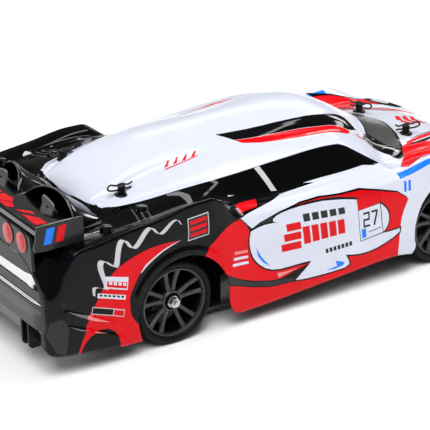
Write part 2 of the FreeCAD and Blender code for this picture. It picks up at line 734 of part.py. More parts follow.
def body_clip(end, side_name):
    """A wire clip whose straight leg goes through its post, with a closed finger loop."""
    side = SIDES[side_name]
    centre = Vector(size(end + "_post_x"), side * size(end + "_post_y"),
                    size(end + "_post_top") - size("clip_leg_drop"))
    tip = size("clip_leg")
    back = -size("clip_back")
    rise = size("clip_loop_height")
    path = Part.Wire([
        Part.LineSegment(Vector(tip, 0, 0), Vector(back, 0, 0)).toShape(),
        Part.Arc(Vector(back, 0, 0), Vector(back - 3.0, 0, rise / 2.0), Vector(back, 0, rise)).toShape(),
        Part.LineSegment(Vector(back, 0, rise), Vector(tip, 0, rise)).toShape(),
    ])
    ring = Part.Wire([Part.makeCircle(size("clip_wire_radius"), Vector(tip, 0, 0), X_AXIS)])
    wire = path.makePipeShell([ring], True, True)
    wire.rotate(Vector(0, 0, 0), Z_AXIS, CLIP_HEADING[end + "_" + side_name] - 180.0)
    wire.translate(centre)
    node("body_clip_%s_%s" % (end, side_name), shape_piece("clip", wire))


def battery():
    """A stick battery pack, lying on the right of the deck."""
    body = doc.addObject("Part::Box", "pack")
    bind(body, Length="Size.battery_length", Width="Size.battery_width", Height="Size.battery_height")
    body.Placement.Base = Vector(size("battery_rear_x"), size("battery_right_y"), PLATE_TOP)
    node("battery", body)


def electronics():
    """Speed controller, receiver and steering servo, three cases on the left of the deck."""
    controller = block((-2.0, 34.0), (14.0, 50.0), (PLATE_TOP, PLATE_TOP + 18.0))
    fins = [block((x, x + 2.0), (18.0, 46.0), (PLATE_TOP + 18.0, PLATE_TOP + 24.0)) for x in range(2, 30, 5)]
    receiver = block((40.0, 62.0), (16.0, 50.0), (PLATE_TOP, PLATE_TOP + 14.0))
    servo_case = block((66.0, 105.0), (12.0, 32.0), (PLATE_TOP, PLATE_TOP + 34.0))
    group("electronics", [fuse([controller] + fins), receiver, servo_case])


def bumper():
    """A foam bumper: a closed block with a rounded front, fixed ahead of the deck."""
    outline = [(190.5, -50), (206, -50), (216, -36), (221, -15),
               (221, 15), (216, 36), (206, 50), (190.5, 50)]
    loop = Part.makePolygon([Vector(x, y, 10.0) for x, y in outline + outline[:1]])
    foam = Part.Face(loop).extrude(Vector(0, 0, 22.0))
    node("front_bumper", shape_piece("foam", foam))


# ---------------------------------------------------------------------------------------------
# Steering linkage
# ---------------------------------------------------------------------------------------------

# The servo's output shaft, and the pin that its horn carries.
SERVO_POST = Vector(95.0, 22.0, PLATE_TOP + 34.3)
HORN_REACH = size("horn_reach")


def servo_horn():
    """The servo's output arm; its pin works in the drag link's slot."""
    hub = rod(4.0, 4.0, SERVO_POST, Z_AXIS)
    arm = block((SERVO_POST.x, SERVO_POST.x + HORN_REACH + 2.0), (SERVO_POST.y - 2.5, SERVO_POST.y + 2.5),
                (SERVO_POST.z, SERVO_POST.z + 2.5))
    pin = rod("Size.pin_radius", 16.0, SERVO_POST + Vector(HORN_REACH, 0, -14.0), Z_AXIS)
    node("servo_horn", fuse([hub, arm, pin]))


def steering_link():
    """A cross link that slides sideways, slotted for the horn's pin and eyed for the tie rods."""
    x0 = SERVO_POST.x + HORN_REACH
    z0 = size("rack_z")
    inner = size("inner_pivot_y")
    bar = block((x0 - 3.0, x0 + 3.0), (-inner + 2.5, inner - 2.5), (z0 - 2.0, z0 + 1.0))
    riser = block((x0 - 3.0, x0 + 3.0), (inner - 7.5, inner - 2.5), (z0 - 2.0, SERVO_POST.z - 5.0))
    cup = block((x0 - 7.0, x0 + 3.4), (SERVO_POST.y - 7.5, SERVO_POST.y + 4.5),
                (z0 + 2.8, SERVO_POST.z - 5.0))
    slot = block((x0 - 5.2, x0 + 2.0), (SERVO_POST.y - 2.6, SERVO_POST.y + 2.6), (z0 + 4.0, SERVO_POST.z))
    forks = []
    for side in SIDES.values():
        width = sorted_pair(side * (inner - 4.0), side * (inner + 2.0))
        forks.append(block((x0 - 3.9, x0 - 2.3), width, (z0 - 2.0, z0 + 1.0)))
        forks.append(block((x0 + 2.3, x0 + 3.4), width, (z0 - 2.0, z0 + 1.0)))
        forks.append(rod("Size.rod_end_pin_radius", 7.3, Vector(x0 - 3.9, side * inner, z0 - 0.5), X_AXIS))
    node("steering_link", cut(fuse([bar, riser, cup] + forks), [slot]))


def tie_rod(side_name):
    """A rod from the cross link to the knuckle's steering arm, with a slotted outer eye."""
    side = SIDES[side_name]
    x0 = axle_x("front") - size("steer_arm_length")
    z0 = size("rack_z") - 0.5
    inner = side * size("inner_pivot_y")
    outer = side * STEER_TIP_Y
    barrel = centred_rod(2.2, 4.2, Vector(x0, inner, z0), X_AXIS)
    pin_hole = centred_rod("Size.rod_end_pin_radius + Size.pin_clearance", 6.0,
                           Vector(x0, inner, z0), X_AXIS)
    bar = rod(1.8, "Size.arm_length - Size.steer_tip_inset - 4", Vector(x0, inner, z0), Y_AXIS * side)
    eye = block((x0 - 5.4, x0 + 10.0), (outer - 5.2, outer + 5.2), (z0 - 1.5, z0 + 1.6))
    slot = block((x0 - 3.8, x0 + 8.4), (outer - 3.4, outer + 3.4), (z0 - 3.0, z0 + 4.0))
    node("tie_rod_" + side_name, cut(fuse([barrel, bar, eye]), [slot, pin_hole]))


# ---------------------------------------------------------------------------------------------
# Body shell: cross-sections that follow named rails from tail to nose
# ---------------------------------------------------------------------------------------------

# Each rail is a list of (x, y, z) on the left half; the right half mirrors it.
SILL = [(-228, 80, 28), (-222, 93, 18), (-202, 97, 16), (-160, 98, 12), (-64, 97.5, 11), (22, 98, 16),
        (87, 98, 20), (108, 97, 17), (184, 94, 14), (205, 88, 14), (218, 74, 14), (228, 48, 14)]
WAIST = [(-228, 82, 48), (-222, 95, 48), (-200, 98.5, 46), (-160, 99.5, 46), (-75, 99.5, 46), (-55, 97, 44),
         (22, 96.5, 45), (95, 97, 48), (145, 99, 52), (184, 95, 42), (205, 89, 40), (218, 75, 40),
         (228, 49, 40)]
FENDER = [(-228, 82, 66), (-222, 91, 68), (-213, 94, 78), (-206, 95, 88), (-200, 95, 95), (-182, 94.5, 97),
          (-165, 94.5, 100), (-131, 95, 104), (-97, 94, 109), (-85, 93.5, 109), (-76, 92.5, 104),
          (-64, 92, 91), (-50, 92, 85), (22, 92, 85), (70, 92, 81), (98, 91, 83), (112, 90, 89),
          (128, 89, 94), (150, 88.5, 94), (165, 88, 90), (173, 87.5, 86), (183, 86, 80.5), (192, 84, 78),
          (205, 79, 75), (218, 66, 70), (228, 42, 62)]
BELT = [(-228, 62, 84), (-213, 74, 90), (-200, 76, 93), (-165, 78, 95), (-131, 80, 98), (-97, 80, 101),
        (-76, 79, 99), (-50, 77, 94), (-5, 77, 91), (40, 77, 92), (86, 75, 90), (98, 73, 86), (112, 71, 84),
        (128, 69, 84), (150, 68, 84), (184, 62, 79), (205, 56, 74), (218, 48, 69.5), (228, 32, 62.5)]
ROOF_EDGE = [(-228, 46, 86), (-200, 52, 91), (-158, 56, 93), (-150, 44, 99), (-141, 50.5, 100.5),
             (-123, 55, 102), (-91, 60, 106), (-39, 63.5, 110), (-4, 65, 113), (35, 66, 115), (52, 67, 114),
             (62, 68, 109), (72, 68, 103), (81, 68.5, 97), (88, 69, 91), (98, 67, 86.5), (112, 63, 85.5),
             (124, 58, 86), (150, 56, 85), (184, 50, 81), (205, 44, 75), (218, 38, 70), (228, 26, 63)]
RAIL_FOOT = [(-228, 34, 87), (-158, 42, 93), (-150, 34, 100.5), (-135, 38, 105), (-110, 38, 112),
             (-76, 38, 117), (-41, 40, 120), (-6, 42, 120), (29, 44, 119), (57, 45, 118), (72, 46, 114),
             (88, 46, 106), (104, 43, 95.5), (118, 46, 91.5), (132, 45, 88.8), (150, 44, 87), (184, 38, 83),
             (205, 34, 76), (218, 30, 70.5), (228, 20, 63.5)]
RAIL_TOP = [(-228, 28, 88), (-158, 34, 93), (-150, 28, 102), (-135, 30, 112), (-110, 28, 120),
            (-76, 26, 124.5), (-41, 25, 126), (-14, 27, 125.8), (3, 29.5, 126.2), (20, 32, 127),
            (38, 34.5, 127), (58, 34, 125), (72, 34, 122), (82, 34, 118), (88, 34, 112.5),
            (96, 34, 105), (104, 34, 99.5),
            (118, 34, 95), (130, 32, 92), (140, 30, 90.2), (150, 28, 88.6), (165, 27, 86.5), (184, 26, 83.5),
            (205, 24, 76.5), (218, 20, 71), (228, 12, 64)]
CROWN = [(-228, 0, 88), (-158, 0, 93), (-154, 0, 101), (-135, 0, 114), (-110, 0, 122), (-76, 0, 127.5),
         (-41, 0, 130), (-6, 0, 131.5), (29, 0, 132), (57, 0, 130.5), (72, 0, 126.5), (88, 0, 119),
         (104, 0, 109.5), (118, 0, 102), (135, 0, 94.5), (151, 0, 89), (165, 0, 87), (184, 0, 84),
         (205, 0, 77), (218, 0, 71), (228, 0, 64)]
RAILS = [SILL, WAIST, FENDER, BELT, ROOF_EDGE, RAIL_FOOT, RAIL_TOP, CROWN]
STATIONS = [-228, -222, -213, -206, -200, -182, -158, -154, -150, -141, -131, -110, -97, -85, -76, -64, -50,
            -22, 6, 29, 57, 72, 88, 98, 104, 112, 118, 128, 140, 151, 165, 173, 184, 192, 205, 212, 218,
            223, 228]


def along(rail, x):
    """The point of a rail at one station, straight between its given points."""
    for (x0, y0, z0), (x1, y1, z1) in zip(rail, rail[1:]):
        if x <= x1:
            share = min(max((x - x0) / (x1 - x0), 0.0), 1.0)
            return (y0 + share * (y1 - y0), z0 + share * (z1 - z0))
    return rail[-1][1:]


def half_section(x):
    return [along(rail, x) for rail in RAILS]


def inset(points, wall):
    """Move an open half-section inwards by the wall's thickness."""
    moved = []
    for index, (y, z) in enumerate(points):
        before = points[max(index - 1, 0)]
        after = points[min(index + 1, len(points) - 1)]
        run = Vector(0, after[0] - before[0], after[1] - before[1])
        run.normalize()
        moved.append((y - wall * run.z, z + wall * run.y))
    moved[0] = (points[0][0] - wall, points[0][1])
    moved[-1] = (0.0, points[-1][1] - wall)
    return moved


def closed_loop(x, left_points):
    """A closed wire from a left half, its mirror image and the line that joins their ends."""
    right = [(-y, z) for y, z in reversed(left_points[:-1])]
    ring = [Vector(x, y, z) for y, z in left_points + right]
    return Part.makePolygon(ring + ring[:1])


def band_loop(x, wall):
    """A closed wire round the shell's thickness at one station."""
    outer = half_section(x)
    inner = inset(outer, wall)
    right_outer = [(-y, z) for y, z in reversed(outer[:-1])]
    right_inner = [(-y, z) for y, z in inner[:-1]]
    ring = outer + right_outer + right_inner + list(reversed(inner))
    points = [Vector(x, y, z) for y, z in ring]
    return Part.makePolygon(points + points[:1])


def body_shell():
    """The thin one-piece body, open below, with its wheel arches and post holes cut through."""
    wall = size("shell_wall")
    skin = Part.makeLoft([band_loop(x, wall) for x in STATIONS], True, True)
    tail_x = (STATIONS[0], STATIONS[0] + wall)
    nose_x = (STATIONS[-1] - wall, STATIONS[-1])
    tail = Part.makeLoft([closed_loop(x, half_section(x)) for x in tail_x], True, True)
    nose = Part.makeLoft([closed_loop(x, half_section(x)) for x in nose_x], True, True)
    shell = skin.fuse([tail, nose])
    for end in ("rear", "front"):
        centre = Vector(size(end + "_arch_x"), 0, size(end + "_arch_z"))
        for side in SIDES.values():
            arch = Part.makeCylinder(size(end + "_arch_radius"), 50.0, centre + Y_AXIS * (side * 62.0),
                                     Y_AXIS * side)
            shell = shell.cut(arch)
            post_foot = Vector(size(end + "_post_x"), side * size(end + "_post_y"), 82.0)
            hole = Part.makeCylinder(size("post_radius") + 0.4, 40.0, post_foot, Z_AXIS)
            shell = shell.cut(hole)
    node("body_shell", shape_piece("shell", shell))


def rear_wing():
    """The tail wing: a cranked blade, two end plates and the two uprights that hold it."""
    rear_x = size("wing_rear_x")
    front_x = rear_x + size("wing_chord")
    half = size("wing_span") / 2.0
    top = size("wing_z")
    profile = [(rear_x, top - 4.5), (rear_x, top), (rear_x + 2.5, top), (front_x, top - 6.0),
               (front_x, top - 8.0), (rear_x + 3.0, top - 2.5)]
    loop = Part.makePolygon([Vector(x, -half + 2, z) for x, z in profile + profile[:1]])
    blade = Part.Face(loop).extrude(Vector(0, 2 * half - 4, 0))
    pieces = []
    plate_outline = [(rear_x - 2, top - 17), (rear_x, top + 3),
                     (rear_x + 38, top + 3), (rear_x + 38, top - 17)]
    for side in SIDES.values():
        loop = Part.makePolygon([Vector(x, side * half, z) for x, z in plate_outline + plate_outline[:1]])
        pieces.append(Part.Face(loop).extrude(Vector(0, -side * 2.0, 0)))
        stay_y = side * size("wing_stay_y")
        upright = Part.makeBox(9.0, 14.0, 26.0, Vector(front_x - 10.0, stay_y - 7.0, top - 30.0))
        window = Part.makeCylinder(3.0, 20.0, Vector(front_x - 20.0, stay_y, top - 14.0), X_AXIS)
        pieces.append(upright.cut(window))
    node("rear_wing", shape_piece("wing", blade.fuse(pieces)))


# ---------------------------------------------------------------------------------------------
# Assembly
# ---------------------------------------------------------------------------------------------

chassis_plate()
group("gearbox_housings", [gearbox_housing(end) for end in ("rear", "front")])
group("shock_towers", [shock_tower(end) for end in ("rear", "front")])
group("shock_bodies", [shock_body(end, side) for end in ("rear", "front") for side in SIDES.values()])
rear_spool()
propeller_shaft()
motor()
motor_pinion()
battery()
electronics()
bumper()
group("body_posts", [body_post(end, side_name) for end in ("rear", "front") for side_name in SIDES])
body_shell()
rear_wing()
servo_horn()
steering_link()
for side_name in SIDES:
    tie_rod(side_name)
    front_carrier(side_name)
    rear_carrier(side_name)
    steering_knuckle(side_name)
    for end in ("rear", "front"):
        lower_arm(end, side_name)
        upper_arm(end, side_name)
        shock_rod(end, side_name)
        spring(end, side_name)
        drive_shaft(end, side_name)
        driven_axle(end, side_name)
        rim(end, side_name)
        tyre(end, side_name)
        body_clip(end, side_name)

doc.recompute()

faults = [obj.Name for obj in doc.Objects if "Invalid" in obj.State or "Error" in obj.State]
if faults:
    raise RuntimeError("failed objects: " + ", ".join(faults))
for obj in nodes:
    if obj.Shape.isNull() or not obj.Shape.isValid():
        raise RuntimeError("bad shape: " + obj.Label)

os.makedirs("parts", exist_ok=True)
for obj in nodes:
    obj.Shape.exportStep(os.path.join("parts", obj.Label + ".step"))
print(len(nodes), "sub-parts written")
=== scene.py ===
import math

import bmesh
import bpy
import numpy as np
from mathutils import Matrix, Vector
from mathutils.geometry import tessellate_polygon


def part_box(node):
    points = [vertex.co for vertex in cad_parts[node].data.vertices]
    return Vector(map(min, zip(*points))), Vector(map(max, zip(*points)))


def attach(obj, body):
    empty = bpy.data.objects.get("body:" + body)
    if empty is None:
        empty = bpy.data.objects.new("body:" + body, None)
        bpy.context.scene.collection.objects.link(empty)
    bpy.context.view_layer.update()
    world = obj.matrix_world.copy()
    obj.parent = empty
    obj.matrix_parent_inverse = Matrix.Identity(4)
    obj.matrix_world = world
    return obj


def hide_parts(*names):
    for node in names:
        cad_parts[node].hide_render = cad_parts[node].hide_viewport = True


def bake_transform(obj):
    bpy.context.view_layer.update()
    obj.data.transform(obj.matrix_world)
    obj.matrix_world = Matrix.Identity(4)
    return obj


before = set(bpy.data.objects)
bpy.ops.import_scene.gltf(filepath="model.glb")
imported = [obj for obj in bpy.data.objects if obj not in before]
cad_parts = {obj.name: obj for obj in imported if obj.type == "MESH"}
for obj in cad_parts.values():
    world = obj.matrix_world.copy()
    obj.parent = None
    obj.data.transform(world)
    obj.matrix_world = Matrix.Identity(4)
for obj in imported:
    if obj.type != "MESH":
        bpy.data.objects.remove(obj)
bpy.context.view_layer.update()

MM = 0.001
bpy.context.scene.view_settings.view_transform = "Standard"

# ---------------------------------------------------------------------------------------------
# Materials
# ---------------------------------------------------------------------------------------------


ROUGH_SPREAD = 0.05
COAT_ROUGHNESS = 0.04
RELIEF_DEPTH = 0.0004


def finish(name, colour, rough, metallic=0.0, coat=0.0, vary=0.06, grain=300.0, bump=0.0, bump_scale=600.0,
           specular=0.5):
    """A Principled material whose colour, roughness and relief vary with noise."""
    mat = bpy.data.materials.new(name)
    mat.use_nodes = True
    tree = mat.node_tree
    shader = tree.nodes["Principled BSDF"]
    shader.inputs["Metallic"].default_value = metallic
    shader.inputs["Coat Weight"].default_value = coat
    shader.inputs["Coat Roughness"].default_value = COAT_ROUGHNESS
    shader.inputs["Specular IOR Level"].default_value = specular
    place = tree.nodes.new("ShaderNodeTexCoord")
    noise = tree.nodes.new("ShaderNodeTexNoise")
    noise.inputs["Scale"].default_value = grain
    noise.inputs["Detail"].default_value = 4.0
    tree.links.new(place.outputs["Object"], noise.inputs["Vector"])
    ramp = tree.nodes.new("ShaderNodeValToRGB")
    ramp.color_ramp.elements[0].position = 0.3
    ramp.color_ramp.elements[1].position = 0.7
    ramp.color_ramp.elements[0].color = tuple(c * (1.0 - vary) for c in colour) + (1.0,)
    ramp.color_ramp.elements[1].color = tuple(min(1.0, c * (1.0 + vary)) for c in colour) + (1.0,)
    tree.links.new(noise.outputs["Fac"], ramp.inputs["Fac"])
    tree.links.new(ramp.outputs["Color"], shader.inputs["Base Color"])
    spread = tree.nodes.new("ShaderNodeMapRange")
    spread.inputs["To Min"].default_value = max(0.0, rough - ROUGH_SPREAD)
    spread.inputs["To Max"].default_value = min(1.0, rough + ROUGH_SPREAD)
    tree.links.new(noise.outputs["Fac"], spread.inputs["Value"])
    tree.links.new(spread.outputs["Result"], shader.inputs["Roughness"])
    if bump > 0.0:
        relief = tree.nodes.new("ShaderNodeTexNoise")
        relief.inputs["Scale"].default_value = bump_scale
        relief.inputs["Detail"].default_value = 3.0
        tree.links.new(place.outputs["Object"], relief.inputs["Vector"])
        lift = tree.nodes.new("ShaderNodeBump")
        lift.inputs["Strength"].default_value = bump
        lift.inputs["Distance"].default_value = RELIEF_DEPTH
        tree.links.new(relief.outputs["Fac"], lift.inputs["Height"])
        tree.links.new(lift.outputs["Normal"], shader.inputs["Normal"])
    return mat


def carbon_weave(name):
    """Woven carbon, as a fine chequer of two dark greys."""
    mat = finish(name, (0.02, 0.02, 0.022), 0.3, coat=0.6)
    tree = mat.node_tree
    shader = tree.nodes["Principled BSDF"]
    place = tree.nodes["Texture Coordinate"]
    check = tree.nodes.new("ShaderNodeTexChecker")
    check.inputs["Scale"].default_value = 500.0
    check.inputs["Color1"].default_value = (0.012, 0.012, 0.013, 1.0)
    check.inputs["Color2"].default_value = (0.055, 0.056, 0.06, 1.0)
    tree.links.new(place.outputs["Object"], check.inputs["Vector"])
    tree.links.new(check.outputs["Color"], shader.inputs["Base Color"])
    return mat


# pink, silver, mid, grey, white and stay also serve as painted highlights and painted reflections on the
# shell, each marked where it is painted
MATS = {
    "white": finish("paint_white", (0.66, 0.69, 0.80), 0.25, coat=0.3, vary=0.015, grain=40.0),
    "red": finish("paint_red", (0.70, 0.0008, 0.006), 0.2, coat=0.12, vary=0.05, grain=60.0, specular=0.12),
    "black": finish("paint_black", (0.0012, 0.0012, 0.0018), 0.1, coat=0.14, vary=0.2, grain=60.0,
                    specular=0.12),
    "grey": finish("paint_graphite", (0.02, 0.02, 0.022), 0.22, coat=0.12, vary=0.12, grain=80.0,
                   specular=0.2),
    "mid": finish("paint_grey", (0.07, 0.07, 0.075), 0.3, coat=0.1, vary=0.1, grain=80.0, specular=0.3),
    "glass": finish("window_black", (0.0008, 0.0008, 0.001), 0.07, coat=0.1, vary=0.3, grain=40.0,
                    specular=0.12),
    "screen": finish("windscreen_tint", (0.065, 0.064, 0.06), 0.22, coat=0.05, vary=0.12, grain=25.0,
                     specular=0.12),
    "blue": finish("paint_blue", (0.01, 0.2, 0.9), 0.25, coat=0.15, specular=0.2, vary=0.05, grain=80.0),
    "pink": finish("paint_pink", (0.8, 0.22, 0.22), 0.28, coat=0.2, vary=0.05, grain=80.0),
    "silver": finish("paint_silver", (0.55, 0.55, 0.57), 0.3, coat=0.2, vary=0.06, grain=120.0),
    "inside": finish("shell_inside", (0.02, 0.02, 0.021), 0.5, vary=0.12, grain=70.0),
    "plastic": finish("moulded_black", (0.004, 0.004, 0.0045), 0.38, vary=0.2, grain=500.0, bump=0.15,
                      bump_scale=1800.0,
                      specular=0.2),
    "gloss_plastic": finish("gloss_black", (0.0015, 0.0015, 0.002), 0.12, coat=0.4, vary=0.2, grain=200.0,
                            specular=0.25),
    "lamp": finish("lamp_red", (0.5, 0.012, 0.015), 0.15, coat=0.3, vary=0.12, grain=220.0),
    "rubber": finish("tyre_rubber", (0.003, 0.003, 0.0032), 0.5, vary=0.25, grain=260.0, bump=0.3,
                     bump_scale=900.0,
                     specular=0.14),
    "rim": finish("rim_gunmetal", (0.045, 0.043, 0.040), 0.36, metallic=0.4, coat=0.1, vary=0.12,
                  grain=260.0),
    "recess": finish("rim_recess", (0.0015, 0.0015, 0.0015), 0.6, specular=0.1, vary=0.2, grain=260.0),
    "steel": finish("turned_steel", (0.55, 0.55, 0.57), 0.26, metallic=1.0, vary=0.08, grain=900.0),
    "alloy": finish("machined_alloy", (0.62, 0.64, 0.68), 0.32, metallic=1.0, vary=0.06, grain=700.0),
    "spring": finish("spring_wire", (0.35, 0.35, 0.38), 0.3, metallic=1.0, vary=0.08, grain=700.0),
    "wrap": finish("battery_wrap", (0.006, 0.007, 0.012), 0.28, coat=0.4, vary=0.12, grain=90.0),
    "foam": finish("bumper_foam", (0.02, 0.02, 0.021), 0.9, vary=0.3, grain=700.0, bump=0.7,
                   bump_scale=1200.0),
    "wire": finish("clip_wire", (0.012, 0.012, 0.013), 0.35, vary=0.2, grain=900.0),
    "stay": finish("wing_stay", (0.15, 0.15, 0.155), 0.35, coat=0.1, vary=0.1, grain=150.0, specular=0.3),
    "carbon": carbon_weave("carbon_weave"),
}

# ---------------------------------------------------------------------------------------------
# Mesh helpers (all lengths in millimetres; vertices are written in metres)
# ---------------------------------------------------------------------------------------------


def angles(n):
    """n equal steps round a full turn."""
    return [math.tau * k / n for k in range(n)]


def add_object(name, verts, faces, mats, face_mats=None, smooth=True, body="chassis", angle=35.0):
    """A mesh object from plain vertex and face lists. It rides on a CAD body, unless body is None."""
    mesh = bpy.data.meshes.new(name)
    mesh.from_pydata([tuple(c * MM for c in v) for v in verts], [], faces)
    for key in mats:
        mesh.materials.append(MATS[key])
    if face_mats:
        mesh.polygons.foreach_set("material_index", face_mats)
    tool = bmesh.new()
    tool.from_mesh(mesh)
    bmesh.ops.recalc_face_normals(tool, faces=tool.faces)
    tool.to_mesh(mesh)
    tool.free()
    obj = bpy.data.objects.new(name, mesh)
    bpy.context.collection.objects.link(obj)
    if smooth:
        mesh.shade_smooth()
        mesh.set_sharp_from_angle(angle=math.radians(angle))
    if body:
        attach(obj, body)
    return obj


def with_bevel(obj, width):
    """Round the sharp edges of a piece."""
    mod = obj.modifiers.new("edge", "BEVEL")
    mod.width = width * MM
    mod.segments = 2
    mod.limit_method = "ANGLE"
    mod.angle_limit = math.radians(30.0)
    mod.harden_normals = True


def rings(name, loops, mats, closed=True, cap=(False, False), body="chassis", ring_mats=None, angle=35.0):
    """A skin over loops of equal length."""
    n = len(loops[0])
    verts = [p for loop in loops for p in loop]
    faces = []
    tags = []
    for i in range(len(loops) - 1):
        for j in range(n if closed else n - 1):
            k = (j + 1) % n
            faces.append((i * n + j, i * n + k, (i + 1) * n + k, (i + 1) * n + j))
            tags.append(ring_mats[i] if ring_mats else 0)
    if cap[0]:
        faces.append(tuple(range(n)))
        tags.append(ring_mats[0] if ring_mats else 0)
    if cap[1]:
        faces.append(tuple((len(loops) - 1) * n + j for j in range(n)))
        tags.append(ring_mats[-1] if ring_mats else 0)
    return add_object(name, verts, faces, mats, tags, body=body, angle=angle)


def plate(name, outline, place, thickness, mat, bevel=0.0, body="chassis"):
    """A flat plate: place maps (u, v, w) to a point, with w running through the thickness."""
    n = len(outline)
    verts = [place(u, v, 0.0) for u, v in outline] + [place(u, v, thickness) for u, v in outline]
    tris = tessellate_polygon([[Vector((u, v, 0.0)) for u, v in outline]])
    faces = [tuple(t) for t in tris] + [tuple(n + i for i in reversed(t)) for t in tris]
    faces += [(i, (i + 1) % n, n + (i + 1) % n, n + i) for i in range(n)]
    obj = add_object(name, verts, faces, [mat], smooth=False, body=body)
    if bevel > 0.0:
        with_bevel(obj, bevel)
    return obj


def sweep(name, points, radius, mat, body):
    """A round wire along a path, with rounded ends."""
    path = [Vector(p) for p in points]
    loops = []
    side = None
    for i, p in enumerate(path):
        ahead = (path[min(i + 1, len(path) - 1)] - path[max(i - 1, 0)]).normalized()
        if side is None:
            side = ahead.orthogonal().normalized()
        side = (side - ahead * side.dot(ahead)).normalized()
        up = ahead.cross(side)
        circle = [p + (side * math.cos(a) + up * math.sin(a)) * radius
                  for a in angles(12)]
        if i == 0:
            loops.append([p - ahead * radius * 0.6 + (q - p) * 0.45 for q in circle])
        loops.append(circle)
        if i == len(path) - 1:
            loops.append([p + ahead * radius * 0.6 + (q - p) * 0.45 for q in circle])
    return rings(name, [[tuple(q) for q in loop] for loop in loops], [mat], cap=(True, True), body=body)


def smooth_path(points, steps=6):
    """Catmull-Rom points through a list of 3-D points."""
    pts = [np.array(p, float) for p in points]
    ext = [2 * pts[0] - pts[1]] + pts + [2 * pts[-1] - pts[-2]]
    out = []
    for i in range(1, len(ext) - 2):
        a, b, c, d = ext[i - 1:i + 3]
        for k in range(steps):
            t = k / steps
            out.append(0.5 * (2 * b + (c - a) * t + (2 * a - 5 * b + 4 * c - d) * t * t
                              + (3 * b - a - 3 * c + d) * t ** 3))
    out.append(pts[-1])
    return [tuple(p) for p in out]


def smooth_loop(points, steps=4):
    """Catmull-Rom points round a closed 2-D outline."""
    pts = [np.array(p, float) for p in points]
    n = len(pts)
    out = []
    for i in range(n):
        a, b, c, d = pts[i - 1], pts[i], pts[(i + 1) % n], pts[(i + 2) % n]
        for k in range(steps):
            t = k / steps
            out.append(0.5 * (2 * b + (c - a) * t + (2 * a - 5 * b + 4 * c - d) * t * t
                              + (3 * b - a - 3 * c + d) * t ** 3))
    return [tuple(p) for p in out]


def circle_outline(cx, cy, r, n):
    """A circle of n points."""
    return [(cx + r * math.cos(a), cy + r * math.sin(a)) for a in angles(n)]


def grown(outline, amount):
    """An outline moved outwards by an amount."""
    area = sum(a[0] * b[1] - b[0] * a[1] for a, b in zip(outline, outline[1:] + outline[:1]))
    turn = 1.0 if area > 0 else -1.0
    out = []
    n = len(outline)
    for i in range(n):
        p, q, r = (Vector(outline[i - 1]), Vector(outline[i]), Vector(outline[(i + 1) % n]))
        e1 = (q - p).normalized()
        e2 = (r - q).normalized()
        n1 = Vector((e1.y, -e1.x)) * turn
        n2 = Vector((e2.y, -e2.x)) * turn
        bis = (n1 + n2).normalized() if (n1 + n2).length > 1e-6 else n1
        reach = amount / max(0.45, bis.dot(n1))
        out.append(tuple(q + bis * reach))
    return out


# ---------------------------------------------------------------------------------------------
# Body shell: the same rails as the CAD shell, skinned finely with rounded edges
# ---------------------------------------------------------------------------------------------

SILL = [(-228, 80, 28), (-222, 93, 18), (-202, 97, 16), (-160, 98, 12), (-64, 97.5, 11), (22, 98, 16),
        (87, 98, 20), (108, 97, 17), (184, 94, 14), (205, 88, 14), (218, 74, 14), (228, 48, 14)]
WAIST = [
    (-228, 82, 48), (-222, 95, 48), (-200, 98.5, 46), (-160, 99.5, 46), (-75, 99.5, 46), (-55, 97, 44),
    (22, 96.5, 45), (95, 97, 48), (145, 99, 52), (184, 95, 42), (205, 89, 40), (218, 75, 40), (228, 49, 40)
]
FENDER = [(-228, 82, 66), (-222, 91, 68), (-213, 94, 78), (-206, 95, 88), (-200, 95, 95), (-182, 94.5, 97),
          (-165, 94.5, 100), (-131, 95, 104), (-97, 94, 109), (-85, 93.5, 109), (-76, 92.5, 104),
          (-64, 92, 91), (-50, 92, 85), (22, 92, 85), (70, 92, 81), (98, 91, 83), (112, 90, 89),
          (128, 89, 94), (150, 88.5, 94), (165, 88, 90), (173, 87.5, 86), (183, 86, 80.5), (192, 84, 78),
          (205, 79, 75), (218, 66, 70), (228, 42, 62)]
BELT = [(-228, 62, 84), (-213, 74, 90), (-200, 76, 93), (-165, 78, 95), (-131, 80, 98), (-97, 80, 101),
        (-76, 79, 99), (-50, 77, 94), (-5, 77, 91), (40, 77, 92), (86, 75, 90), (98, 73, 86), (112, 71, 84),
        (128, 69, 84), (150, 68, 84), (184, 62, 79), (205, 56, 74), (218, 48, 69.5), (228, 32, 62.5)]
ROOF_EDGE = [(-228, 46, 86), (-200, 52, 91), (-158, 56, 93), (-150, 44, 99), (-141, 50.5, 100.5),
             (-123, 55, 102), (-91, 60, 106), (-39, 63.5, 110), (-4, 65, 113), (35, 66, 115), (52, 67, 114),
             (62, 68, 109), (72, 68, 103), (81, 68.5, 97), (88, 69, 91), (98, 67, 86.5), (112, 63, 85.5),
             (124, 58, 86), (150, 56, 85), (184, 50, 81), (205, 44, 75), (218, 38, 70), (228, 26, 63)]
RAIL_FOOT = [(-228, 34, 87), (-158, 42, 93), (-150, 34, 100.5), (-135, 38, 105), (-110, 38, 112),
             (-76, 38, 117), (-41, 40, 120), (-6, 42, 120), (29, 44, 119), (57, 45, 118), (72, 46, 114),
             (88, 46, 106), (104, 43, 95.5), (118, 46, 91.5), (132, 45, 88.8), (150, 44, 87), (184, 38, 83),
             (205, 34, 76), (218, 30, 70.5), (228, 20, 63.5)]
RAIL_TOP = [
    (-228, 28, 88), (-158, 34, 93), (-150, 28, 102), (-135, 30, 112), (-110, 28, 120), (-76, 26, 124.5),
    (-41, 25, 126), (-14, 27, 125.8), (3, 29.5, 126.2), (20, 32, 127), (38, 34.5, 127), (58, 34, 125),
    (72, 34, 122), (82, 34, 118), (88, 34, 112.5), (96, 34, 105), (104, 34, 99.5), (118, 34, 95),
    (130, 32, 92), (140, 30, 90.2), (150, 28, 88.6), (165, 27, 86.5), (184, 26, 83.5), (205, 24, 76.5),
    (218, 20, 71), (228, 12, 64)
]
